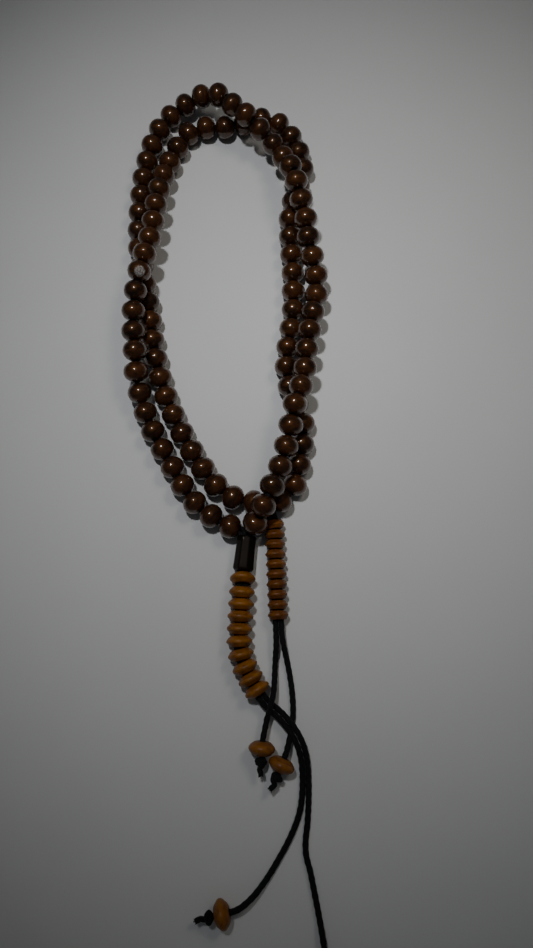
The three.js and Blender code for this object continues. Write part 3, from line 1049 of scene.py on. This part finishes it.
def ring_mesh(
    name: str,
    profile: Sequence[tuple[float, float, float, float]],
    segments: int,
    shape: Callable[[float, float], float] | None = None,
) -> Mesh:
    """A closed turned ring round the Y axis from a closed outline.

    Args:
        name: the mesh's name.
        profile: radius, height, edge mask and hub mask of each corner of the outline, round the outline once.
        segments: how many steps go round the axis.
        shape: gives a factor on the radius for an angle and a height, where the piece isn't plain round.

    Returns:
        The mesh in metres, with attributes turned, edge and hub.
    """
    rows = len(profile)
    corners, edge, hub = [], [], []
    for i in range(segments):
        angle = 2 * math.pi * i / segments
        for radius, height, edge_mask, hub_mask in profile:
            reach = radius * (shape(angle, height) if shape else 1.0)
            corners.append((reach * math.cos(angle) * MM, height * MM, reach * math.sin(angle) * MM))
            edge.append(edge_mask)
            hub.append(hub_mask)
    faces = []
    for i in range(segments):
        following = (i + 1) % segments
        for j in range(rows):
            below = (j + 1) % rows
            faces.append((i * rows + j, i * rows + below, following * rows + below, following * rows + j))
    mesh = bpy.data.meshes.new(name)
    mesh.from_pydata(corners, [], faces)
    for label, values in (("edge", edge), ("hub", hub), ("turned", corners)):
        keep_values(mesh, label, values)
    outwards(mesh)
    mesh.shade_smooth()
    return mesh


def outwards(mesh: Mesh) -> None:
    """Turns every face of a closed mesh outwards.

    Args:
        mesh: the mesh, with its points already merged.
    """
    work = bmesh.new()
    work.from_mesh(mesh)
    bmesh.ops.recalc_face_normals(work, faces=work.faces)
    work.to_mesh(mesh)
    work.free()


def arc(
    centre: tuple[float, float], radii: tuple[float, float], start: float, stop: float, steps: int,
) -> list[tuple[float, float]]:
    """Points of an elliptical arc, by angles in degrees, both ends included."""
    angles = [math.radians(start + (stop - start) * i / steps) for i in range(steps + 1)]
    return [(centre[0] + radii[0] * math.cos(a), centre[1] + radii[1] * math.sin(a)) for a in angles]


def turned_to(heading: Place, spin: float) -> Matrix:
    """The turn that brings the Y axis round to a unit heading, after a spin about it in radians."""
    return Vector((0, 1, 0)).rotation_difference(Vector(heading)).to_matrix() @ Matrix.Rotation(spin, 3, "Y")


@dataclass
class BeadStrand:
    """The beads of the strand and the cord that they are threaded on. Its lengths are millimetres."""

    braider: Braider
    diameter: float = 8.08
    roundness: float = 2.15
    bore: float = 1.05
    lip: float = 0.32
    mouth_flare: float = 0.08
    mouth_depth: float = 0.04
    mouth_end: float = 0.25
    beads_before_tie: int = 52
    beads_after_tie: int = 50
    runs_per_half: int = 9
    free_lead: float = 3.1
    tie_gap: float = 1.9
    segments: int = 28
    rows: int = 12
    dent_depth: float = 0.22
    dent_scale: float = 230.0
    dent_seed: float = 4.0
    cord_step: float = 0.5
    cord_sides: int = 12
    seed: int = 108

    def __post_init__(self) -> None:
        """Lays the strand's route and finds the pitch of its beads."""
        start = [in_guru(depth, -1) for depth in (GURU_CORD_DEPTH, 0.0, -CORD_DIAMETER)]
        stop = [in_guru(depth, 1) for depth in (-CORD_DIAMETER, 0.0, GURU_CORD_DEPTH)]
        self.route = Route([*start, *FIRST_PASS, *SECOND_PASS, *stop])
        self.lead = GURU_CORD_DEPTH + self.free_lead
        beads = self.beads_before_tie + self.beads_after_tie
        self.pitch = (self.route.length - 2 * self.lead - self.tie_gap) / beads
        self.tie_at = self.lead + self.beads_before_tie * self.pitch + self.tie_gap / 2

    def run_sizes(self, beads: int) -> list[int]:
        """How many beads each run of one half of the strand has."""
        least, larger = divmod(beads, self.runs_per_half)
        return [least + (i < larger) for i in range(self.runs_per_half)]

    def runs(self) -> list[np.ndarray]:
        """Where the beads are.

        Returns:
            For each run, the length along the route of each of its beads.
        """
        runs = []
        start = self.lead
        for beads in (self.beads_before_tie, self.beads_after_tie):
            for size in self.run_sizes(beads):
                runs.append(start + (np.arange(size) + 0.5) * self.pitch)
                start += size * self.pitch
            start += self.tie_gap
        return runs

    def bead_mesh(self) -> Piece:
        """One bead round the Y axis: rounded, drawn in to a bore with a softened lip.

        Returns:
            The bead that the tree repeats.
        """
        half, radius = self.pitch / 2, self.diameter / 2
        top = half * (1 - ((self.bore + self.lip) / radius) ** self.roundness) ** (1 / self.roundness)
        outline = []
        for i in range(self.rows + 1):
            height = top * math.sin(math.radians(-90 + 180 * i / self.rows))
            width = (1 - abs(height / half) ** self.roundness) ** (1 / self.roundness) * radius
            outline.append((width, height, 0.0, 0.0))
        mouth, inside = top - self.mouth_depth, top - self.mouth_end
        outline += [
            (self.bore + self.mouth_flare, mouth, 0.6, 1.0),
            (self.bore, inside, 0.0, 1.0),
            (self.bore, -inside, 0.0, 1.0),
            (self.bore + self.mouth_flare, -mouth, 0.6, 1.0),
        ]
        return placed_piece("one_bead", ring_mesh("one_bead", outline, self.segments))

    def threading_points(self, distances: np.ndarray, rng: np.random.Generator) -> Piece:
        """The points that one run's beads stand on, with their headings, spins, sizes and tones.

        Args:
            distances: the length along the route of each bead.
            rng: where the beads' small differences come from.

        Returns:
            The points, for the tree to start from.
        """
        count = len(distances)
        mesh = bpy.data.meshes.new("threading")
        mesh.from_pydata([tuple(point) for point in in_frame(self.route.at(distances))], [], [])
        round_size = rng.normal(0.99, 0.014, count).clip(0.95, 1.005)
        length = rng.uniform(0.985, 1.01, count)
        oval = rng.uniform(0.99, 1.01, count)
        keep_values(mesh, "heading", self.route.direction(distances, self.pitch))
        keep_values(mesh, "size", np.stack([round_size * oval, length, round_size / oval], axis=1))
        keep_values(mesh, "spin", rng.uniform(0, 2 * math.pi, count))
        keep_values(mesh, "piece", rng.uniform(0, 1, count))
        return placed_piece("threading", mesh)

    def rubbed_spot(self, near: Place, towards: Place) -> tuple[float, float, float]:
        """The middle of the one rubbed patch.

        Args:
            near: a place by the rubbed bead, in millimetres.
            towards: the place that the patch faces, in millimetres.

        Returns:
            A point on that bead's surface, in metres of the frame.
        """
        centres = self.route.at(np.concatenate(self.runs()))
        centre = centres[np.argmin(np.linalg.norm(centres - np.array(near), axis=1))]
        facing = np.array(towards) - centre
        spot = in_frame(centre + facing / np.linalg.norm(facing) * self.diameter / 2)
        return tuple(float(value) for value in spot)

    def build(self, tree: Tree, finish: Material) -> None:
        """Builds every run of beads and the cord through them.

        Args:
            tree: the threading tree.
            finish: the beads' material.
        """
        rng = np.random.default_rng(self.seed)
        bead = self.bead_mesh()
        for number, distances in enumerate(self.runs(), start=1):
            run = smooth(grown(f"beads_{number:02d}", self.threading_points(distances, rng), tree, {
                "Bead": bead, "Finish": finish, "Dent Depth": self.dent_depth * MM,
                "Dent Scale": self.dent_scale, "Dent Seed": self.dent_seed,
            }))
            finish_piece(run, STRAND_BODY, Slot.BEAD, f"bead_run_{number:02d}")
        bpy.data.objects.remove(bead)
        cord = self.braider.cord("strand_braid", self.route.even(self.cord_step), sides=self.cord_sides)
        finish_piece(cord, STRAND_BODY, Slot.CORD, "strand_cord")


@dataclass
class GuruBead:
    """The eight-sided bead that closes the strand: softened edges, a little wider at its foot."""

    finish: Material
    width: float = GURU_WIDTH
    length: float = GURU_LENGTH
    bore: float = 1.92
    waist: float = 0.93
    flare: float = 0.07
    rounding: float = 1.05
    shoulder: float = 1.0
    lip: float = 0.15
    sides: int = 8
    segments: int = 96
    rows: int = 8
    edge_softness: float = 0.35
    tone: float = 0.37

    def section(self, angle: float, height: float) -> float:
        """Eight flats with softened corners, the same at every height.

        Args:
            angle: the angle round the bead.
            height: the height along it.

        Returns:
            The factor on the radius.
        """
        step = 2 * math.pi / self.sides
        off = (angle + step / 2) % step - step / 2
        corner = 1 / math.cos(step / 2)
        return min(1 / math.cos(off), corner - self.edge_softness * (corner - 1))

    def outline(self) -> list[tuple[float, float, float, float]]:
        """The outline from the top face down to the foot, and back up the bore.

        Returns:
            Radius, height, edge mask and hub mask of each corner.
        """
        half = self.width / 2
        radii = (self.rounding, self.shoulder)
        face, foot = half - self.rounding, self.length - self.shoulder
        worn = 0.9 * self.shoulder
        rows = []
        for x, y in arc((face, self.shoulder), radii, -90, 0, 5):
            rows.append((x * self.waist, y, 0.5 if y < worn else 0.2, 0.0))
        for i in range(1, self.rows):
            share = i / self.rows
            swell = self.waist + self.flare * share**3
            rows.append((half * swell, self.shoulder + (self.length - 2 * self.shoulder) * share, 0.1, 0.0))
        for x, y in arc((face, foot), radii, 0, 90, 5):
            rows.append((x, y, 0.5 if y > self.length - worn else 0.2, 0.0))
        return rows + [
            (self.bore + self.lip, self.length - 0.02, 0.5, 1.0),
            (self.bore, self.length - 0.3, 0.0, 1.0),
            (self.bore, 0.3, 0.0, 1.0),
            (self.bore + self.lip, 0.02, 0.5, 1.0),
        ]

    def build(self) -> None:
        """Builds the bead and lays it on its flat."""
        mesh = ring_mesh("guru_barrel", self.outline(), self.segments, self.section)
        above = np.cross(GURU_ACROSS, GURU_DIRECTION)
        axes = Matrix((GURU_ACROSS, GURU_DIRECTION, above)).transposed().to_4x4()
        axes.translation = Vector(in_frame(GURU_TOP))
        mesh.transform(axes)
        keep_values(mesh, "piece", [self.tone] * len(mesh.vertices))
        mesh.materials.append(self.finish)
        outwards(mesh)
        finish_piece(placed_piece("guru_barrel", mesh), STRAND_BODY, Slot.GURU, "guru_bead")


@dataclass
class CounterDisc:
    """One turned counter or end disc: two convex faces that meet at a blunt rounded rim."""

    diameter: float
    thickness: float
    bore: float
    hub_wall: float = 0.25
    bore_lip: float = 0.1
    bore_bevel: float = 0.2
    rim_share: float = 0.48
    rim_angle: float = 52.0
    fullness: float = 1.5
    face_rows: int = 6
    segments: int = 56
    unevenness: tuple[float, float] = (0.002, 0.007)

    def profile(self) -> list[tuple[float, float, float, float]]:
        """The outline, with its edge and hub masks.

        Returns:
            Radius, height, edge mask and hub mask of each corner.
        """
        half, rim = self.thickness / 2, self.thickness * self.rim_share / 2
        shoulder, hub = self.diameter / 2 - rim, self.bore + self.hub_wall
        face = [(self.bore + self.bore_lip, -half, 0.3, 1.0)]
        for i in range(self.face_rows + 1):
            share = i / self.face_rows
            reach = hub + (shoulder + rim * 0.5 - hub) * share
            height = half - (half - rim * 0.87) * share**self.fullness
            face.append((reach, -height, 0.45 - 0.3 * share, max(0.0, 0.7 - 1.6 * share)))
        round_rim = arc((shoulder, 0.0), (rim, rim), -self.rim_angle, self.rim_angle, 6)
        edge = [(x, y, 0.9, 0.0) for x, y in round_rim]
        back = [(x, -y, worn, near_bore) for x, y, worn, near_bore in reversed(face)]
        inside = half - self.bore_bevel
        return [*face, *edge, *back, (self.bore, inside, 0.0, 1.0), (self.bore, -inside, 0.0, 1.0)]

    def build(self, node: str, axis: Place, finish: Material, rng: np.random.Generator) -> Piece:
        """Builds the disc on its CAD node's place and lets it ride on its own body.

        Args:
            node: the CAD node and body that it stands for.
            axis: the direction of the cord through it.
            finish: its material.
            rng: where its small irregularities come from.

        Returns:
            The finished disc.
        """
        waves = rng.uniform(0, 2 * math.pi, 3)
        sizes = rng.uniform(*self.unevenness, 3)

        def shape(angle: float, height: float) -> float:
            """Hand-turned roundness: a few slow waves round the rim."""
            pairs = enumerate(zip(sizes, waves), start=2)
            return 1.0 + sum(size * math.sin(count * angle + wave + height) for count, (size, wave) in pairs)

        mesh = ring_mesh(f"{node}_turned", self.profile(), self.segments, shape)
        low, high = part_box(node)
        place = turned_to(Vector(axis).normalized(), rng.uniform(0, 2 * math.pi)).to_4x4()
        place.translation = (low + high) / 2
        mesh.transform(place)
        keep_values(mesh, "piece", [float(rng.uniform())] * len(mesh.vertices))
        mesh.materials.append(finish)
        return finish_piece(placed_piece(f"{node}_turned", mesh), node, Slot.COUNTER, node)


@dataclass
class StopKnot:
    """The knot behind an end disc, with the cord's short cut end and its fray.

    The knotted line winds twice round a ring while it swings in and out of it. Lengths are millimetres.
    """

    LEAD_IN = ((0.0, -0.3, 0.0), (0.25, 0.2, 0.05))
    CUT_END = ((0.6, 2.5, -0.35), (0.1, 3.1, -0.1), (-0.35, 3.8, 0.25), (0.1, 4.5, 0.1), (0.35, 5.4, -0.1))
    FIBRE_RINGS = ((0.0, 0.09), (0.55, 0.07))

    ring: float = 0.82
    swing: float = 0.46
    swings_per_turn: float = 1.5
    centre: float = 1.6
    strand_radius: float = 0.76
    lowest: float = CORD_RADIUS + 0.05
    line_step: float = 0.2
    fibres: int = 30
    fibre_root: float = 0.25
    fibre_length: tuple[float, float] = (0.35, 0.9)
    fibre_spread: tuple[float, float] = (0.05, 0.4)
    fibre_plait: float = 0.6
    fibre_floor: float = 0.05

    def line(self) -> np.ndarray:
        """The knotted line, along +Y from the disc's face.

        Returns:
            Its points, close together.
        """
        turns = np.linspace(0.5, 4 * math.pi - 0.5, 60)
        swings = self.swings_per_turn * turns
        reach = self.ring + self.swing * np.cos(swings)
        height = self.centre + self.swing * np.sin(swings)
        knotted = np.stack([reach * np.cos(turns), height, reach * np.sin(turns)], axis=1)
        return Route([*self.LEAD_IN, *knotted[::3], *self.CUT_END]).even(self.line_step)

    def build(
        self, name: str, braider: Braider, foot: np.ndarray, heading: np.ndarray, rng: np.random.Generator,
    ) -> list[Piece]:
        """Builds the knot and its fray.

        Args:
            name: the CAD node that it stands for.
            braider: what makes the cord.
            foot: where it leaves the disc, in millimetres.
            heading: the way that the cord goes there.
            rng: where the knot's lean and the fray's fibres come from.

        Returns:
            The knot and the fray.
        """
        turn = turned_to(heading, math.radians(float(rng.uniform(0, 360))))
        line = self.line() @ np.array(turn).T + foot
        line[:, 2] = np.maximum(line[:, 2], self.lowest)
        knot = braider.cord(f"{name}_tied", line, self.strand_radius)
        fray = self.fray(f"{name}_fray", line[-1], line[-1] - line[-4], braider.finish, rng)
        return [finish_piece(piece, STRAND_BODY, Slot.CORD, name) for piece in (knot, fray)]

    def fray(
        self, name: str, end: np.ndarray, heading: np.ndarray, finish: Material, rng: np.random.Generator,
    ) -> Piece:
        """Loose fibres at the cut end, each a thin three-sided spike that bends outwards.

        Args:
            name: the piece's name.
            end: the middle of the cut, in millimetres.
            heading: the way that the cord points there.
            finish: the cord's material.
            rng: where the fibres' places and lengths come from.

        Returns:
            The fibres, as one piece.
        """
        heading = heading / np.linalg.norm(heading)
        across = across_of(heading)
        above = np.cross(across, heading)
        corners, faces = [], []
        for _ in range(self.fibres):
            angle = rng.uniform(0, 2 * math.pi)
            out = self.strand_radius * math.sqrt(rng.uniform(0, 0.85))
            side = math.cos(angle) * across + math.sin(angle) * above
            root = end + out * side - self.fibre_root * heading
            length = rng.uniform(*self.fibre_length)
            spread = rng.uniform(*self.fibre_spread)
            base = len(corners)
            for share, thick in self.FIBRE_RINGS:
                middle = root + heading * length * share + side * spread * share**2
                for k in range(3):
                    turn = 2 * math.pi * k / 3
                    corners.append(middle + thick * (math.cos(turn) * across + math.sin(turn) * above))
            corners.append(root + heading * length + side * spread)
            faces.append((base, base + 1, base + 2))
            for k in range(3):
                following = (k + 1) % 3
                faces.append((base + k, base + following, base + 3 + following, base + 3 + k))
                faces.append((base + 3 + k, base + 3 + following, base + 6))
        placed = in_frame(np.array(corners))
        placed[:, 2] = np.maximum(placed[:, 2], self.fibre_floor * MM)
        mesh = bpy.data.meshes.new(name)
        mesh.from_pydata([tuple(corner) for corner in placed], [], faces)
        outwards(mesh)
        for label, value in (("along", 0.0), ("plait", self.fibre_plait), ("around", (1.0, 0.0, 0.0))):
            keep_values(mesh, label, [value] * len(corners))
        mesh.materials.append(finish)
        return placed_piece(name, mesh)


@dataclass
class Tail:
    """A doubled cord with counters on it that parts into two ends, each with an end disc and a knot."""

    name: str
    braider: Braider
    finish: Material
    end_finish: Material
    counter_diameter: float
    counter_thickness: float
    end_diameter: float
    end_thickness: float
    pair: Sequence[Place]
    ends: Sequence[Sequence[Place]]
    origin: np.ndarray
    leads_from_guru: bool
    counters: int = 10
    counter_scale: tuple[float, float] = (0.975, 1.005)
    fuller: float = 0.22
    fullness: float = 1.55
    pair_bore: float = 2.12
    end_scale: float = 0.975
    end_bore: float = 1.2
    end_hub_wall: float = 0.35
    end_rim_share: float = 0.6
    end_fullness: float = 2.1
    seed: int = 21

    def cord_route(self, number: int) -> Route:
        """The route of one of the two cords, from the bore or hitch to its knot.

        Args:
            number: 1 or 2.

        Returns:
            The route.
        """
        side = 1 if number == 1 else -1
        start = []
        if self.leads_from_guru:
            inside = in_guru(GURU_LENGTH - GURU_CORD_DEPTH + JOINT_GAP, side)
            start = [inside, in_guru(GURU_LENGTH, side) + BORE_RISE * UP]
        spine = lifted(self.pair, self.origin, self.counter_diameter / 2)
        end = lifted(self.ends[number - 1], self.origin, self.end_diameter / 2)
        return Route([*start, *side_of_pair(spine, side), *end])

    def build(self, axes: dict[str, Place]) -> None:
        """Builds the counters, then each cord with its end disc and knot.

        Args:
            axes: the sliding direction of each counter and end disc.
        """
        rng = np.random.default_rng(self.seed)
        thickness = self.counter_thickness + self.fuller
        for number in range(1, self.counters + 1):
            node = f"{self.name}_counter_{number:02d}"
            diameter = self.counter_diameter * rng.uniform(*self.counter_scale)
            disc = CounterDisc(diameter, thickness, self.pair_bore, fullness=self.fullness)
            disc.build(node, axes[node], self.finish, rng)
        for number in (1, 2):
            self.build_end(number, axes, rng)

    def build_end(self, number: int, axes: dict[str, Place], rng: np.random.Generator) -> None:
        """Args:
            number: 1 or 2.
            axes: the sliding direction of each end disc.
            rng: where the disc's and the knot's small irregularities come from.
        """
        route = self.cord_route(number)
        path = route.even(self.braider.ring_step)
        path[:, 2] = np.maximum(path[:, 2], self.braider.lowest)
        cord = self.braider.cord(f"{self.name}_braid_{number}", path)
        finish_piece(cord, STRAND_BODY, Slot.CORD, f"{self.name}_cord_{number}")
        node = f"{self.name}_end_disc_{number}"
        disc = CounterDisc(
            self.end_diameter * self.end_scale, self.end_thickness, self.end_bore,
            hub_wall=self.end_hub_wall, rim_share=self.end_rim_share, fullness=self.end_fullness,
        )
        end_disc = disc.build(node, axes[node], self.end_finish, rng)
        heading = route.direction(route.length)
        tied = StopKnot().build(f"{self.name}_knot_{number}", self.braider, route.points[-1], heading, rng)
        followed = in_frame(route.even(1.0))


@dataclass
class TailHitch:
    """The lark's head that ties the second tail round the strand's cord.

    A point of it is an offset along the strand's cord, a length back from it and a height above it.
    """

    braider: Braider
    strand: BeadStrand
    legs: tuple[np.ndarray, np.ndarray]
    cord_radius: float = 0.7
    wrap: float = 1.5
    leg_offset: float = 0.85
    line_step: float = 0.2

    def half_turn(self) -> list[tuple[float, float, float]]:
        """One leg's way round the strand's cord and back towards the bight."""
        offset, wrap = self.leg_offset, self.wrap
        return [
            (offset, -1.45, -0.75), (offset, 0.0, -wrap), (offset, wrap, 0.0), (0.95 * offset, 0.0, wrap),
            (offset, -1.25, 0.95), (0.75 * offset, -1.95, 0.75),
        ]

    def build(self) -> None:
        """Builds the hitch from the start of one cord of the pair to the start of the other."""
        centre = self.strand.route.at(self.strand.tie_at)
        along = self.strand.route.direction(self.strand.tie_at)
        back = -across_of(along)
        half = self.half_turn()
        bight = (0.0, -2.1, 0.85)
        whole = [*((-t, n, z) for t, n, z in half), bight, *reversed(half)]
        wound = [centre + t * along + n * back + z * UP for t, n, z in whole]
        line = Route([self.legs[0], *wound, self.legs[1]]).even(self.line_step)
        hitch = self.braider.cord("tail_hitch", line, self.cord_radius)
        finish_piece(hitch, STRAND_BODY, Slot.CORD, "tail_tie_loop")


# ---------------------------------------------------------------- studio


@dataclass(frozen=True)
class Lamp:
    """A soft square light: place and target in millimetres, side in metres, power in watts, beam in degrees.

    A lamp without glints lights the piece but isn't mirrored in glossy surfaces.
    """

    name: str
    place: tuple[float, float, float]
    target: tuple[float, float, float]
    side: float
    power: float
    tint: tuple[float, float, float]
    beam: float
    glints: bool = True

    def hang(self) -> None:
        """Puts the light into the scene."""
        data = bpy.data.lights.new(self.name, "AREA")
        data.size = self.side
        data.energy = self.power
        data.color = self.tint
        data.spread = math.radians(self.beam)
        light = bpy.data.objects.new(self.name, data)
        light.location = Vector(self.place) * MM
        light.visible_glossy = self.glints
        facing = Vector(self.target) - Vector(self.place)
        light.rotation_euler = facing.to_track_quat("-Z", "Y").to_euler()
        bpy.context.scene.collection.objects.link(light)


LAMPS = (
    Lamp("Key lamp", (-70, 90, 480), (22, 14, 0), 0.034, 0.074, (0.95, 0.97, 1.0), 48),
    Lamp("Second lamp", (230, 190, 430), (22, 14, 0), 0.15, 0.033, (1.0, 0.94, 0.84), 50, glints=False),
    Lamp("Fill softbox", (40, 220, 900), (20, 100, 0), 0.6, 0.07, (1.0, 1.0, 1.0), 180),
)


@dataclass
class Studio:
    """The floor, the soft lights and the camera."""

    floor_size: float = 3.0
    sky_tint: Colour = (0.9, 0.95, 1.0, 1.0)
    sky_strength: float = 0.045
    nearest: float = 0.005

    def build(self) -> None:
        """Builds the studio."""
        self.camera()
        self.floor()
        for lamp in LAMPS:
            lamp.hang()
        world = bpy.data.worlds.new("Studio")
        world.use_nodes = True
        sky = world.node_tree.nodes["Background"]
        sky.inputs["Color"].default_value = self.sky_tint
        sky.inputs["Strength"].default_value = self.sky_strength
        bpy.context.scene.world = world

    def camera(self) -> None:
        """Sets the camera above the tails, looking a little towards the top of the loop."""
        data = bpy.data.cameras.new("Camera")
        data.lens = CAMERA_LENS
        data.sensor_width = CAMERA_SENSOR
        data.clip_start = self.nearest
        camera = bpy.data.objects.new("Camera", data)
        camera.location = [value * MM for value in CAMERA_PLACE]
        camera.rotation_euler = (CAMERA_TILT, 0.0, 0.0)
        bpy.context.scene.collection.objects.link(camera)
        bpy.context.scene.camera = camera

    def floor(self) -> None:
        """Lays the plain floor."""
        half = self.floor_size / 2
        corners = [(-half, -half, 0), (half, -half, 0), (half, half, 0), (-half, half, 0)]
        mesh = bpy.data.meshes.new("floor")
        mesh.from_pydata(corners, [], [(0, 1, 2, 3)])
        mesh.materials.append(FloorPaint().material())
        placed_piece("floor", mesh)


def main() -> None:
    """Builds the mala piece by piece."""
    logging.basicConfig(level=logging.INFO, format="%(message)s")
    Studio().build()
    groups = SharedGroups()
    braider = Braider(braiding_tree(), BraidedFibre("Black braid").material())
    strand = BeadStrand(braider)
    bead_wood = VarnishedWood(
        "Bead wood", dark=(0.0036, 0.002, 0.0014, 1.0), light=(0.062, 0.02, 0.005, 1.0),
        worn_place=strand.rubbed_spot(RUBBED_BEAD, CAMERA_PLACE),
    ).material(groups)
    guru_wood = VarnishedWood(
        "Guru wood", dark=(0.0018, 0.0014, 0.0012, 1.0), light=(0.0065, 0.0038, 0.0026, 1.0), bands=200.0,
        roughness=0.42, varnish=0.35, depth_gloss=0.16, depth_tint=(1.0, 0.8, 0.62, 1.0),
    ).material(groups)
    counter_wood = WaxedWood("Counter wood").material(groups)
    # The strand tail's counters get a darker, redder copy of the counter wood: the redder tone is their own
    # colour, and part of the darkness is painted shade
    small_counter_wood_and_shade = WaxedWood(
        "Small counter wood and painted shade", dark=(0.07, 0.018, 0.0015, 1.0), light=(0.19, 0.055, 0.0035, 1.0),
        rubbed=(0.27, 0.1, 0.009, 1.0),
    ).material(groups)
    axes = {joint["child"]: joint["axis"] for joint in frame["joints"]}
    guru_tail = Tail(
        "guru_tail", braider, counter_wood, counter_wood,
        counter_diameter=8.1, counter_thickness=3.2, end_diameter=8.4, end_thickness=4.4,
        pair=GURU_TAIL_PAIR, ends=GURU_TAIL_ENDS, origin=GURU_TOP + GURU_LENGTH * GURU_DIRECTION,
        leads_from_guru=True,
    )
    strand_tail = Tail(
        "strand_tail", braider, small_counter_wood_and_shade, counter_wood,
        counter_diameter=6.5, counter_thickness=2.6, end_diameter=8.2, end_thickness=4.2,
        pair=STRAND_TAIL_PAIR, ends=STRAND_TAIL_ENDS, origin=strand.route.at(strand.tie_at),
        leads_from_guru=False, fuller=0.1, fullness=1.35, seed=34,
    )
    guru_tail.build(axes)
    strand_tail.build(axes)
    legs = (strand_tail.cord_route(1).points[0], strand_tail.cord_route(2).points[0])
    TailHitch(braider, strand, legs).build()
    strand.build(threading_tree(), bead_wood)
    GuruBead(guru_wood).build()


if __name__ == "__main__":
    main()
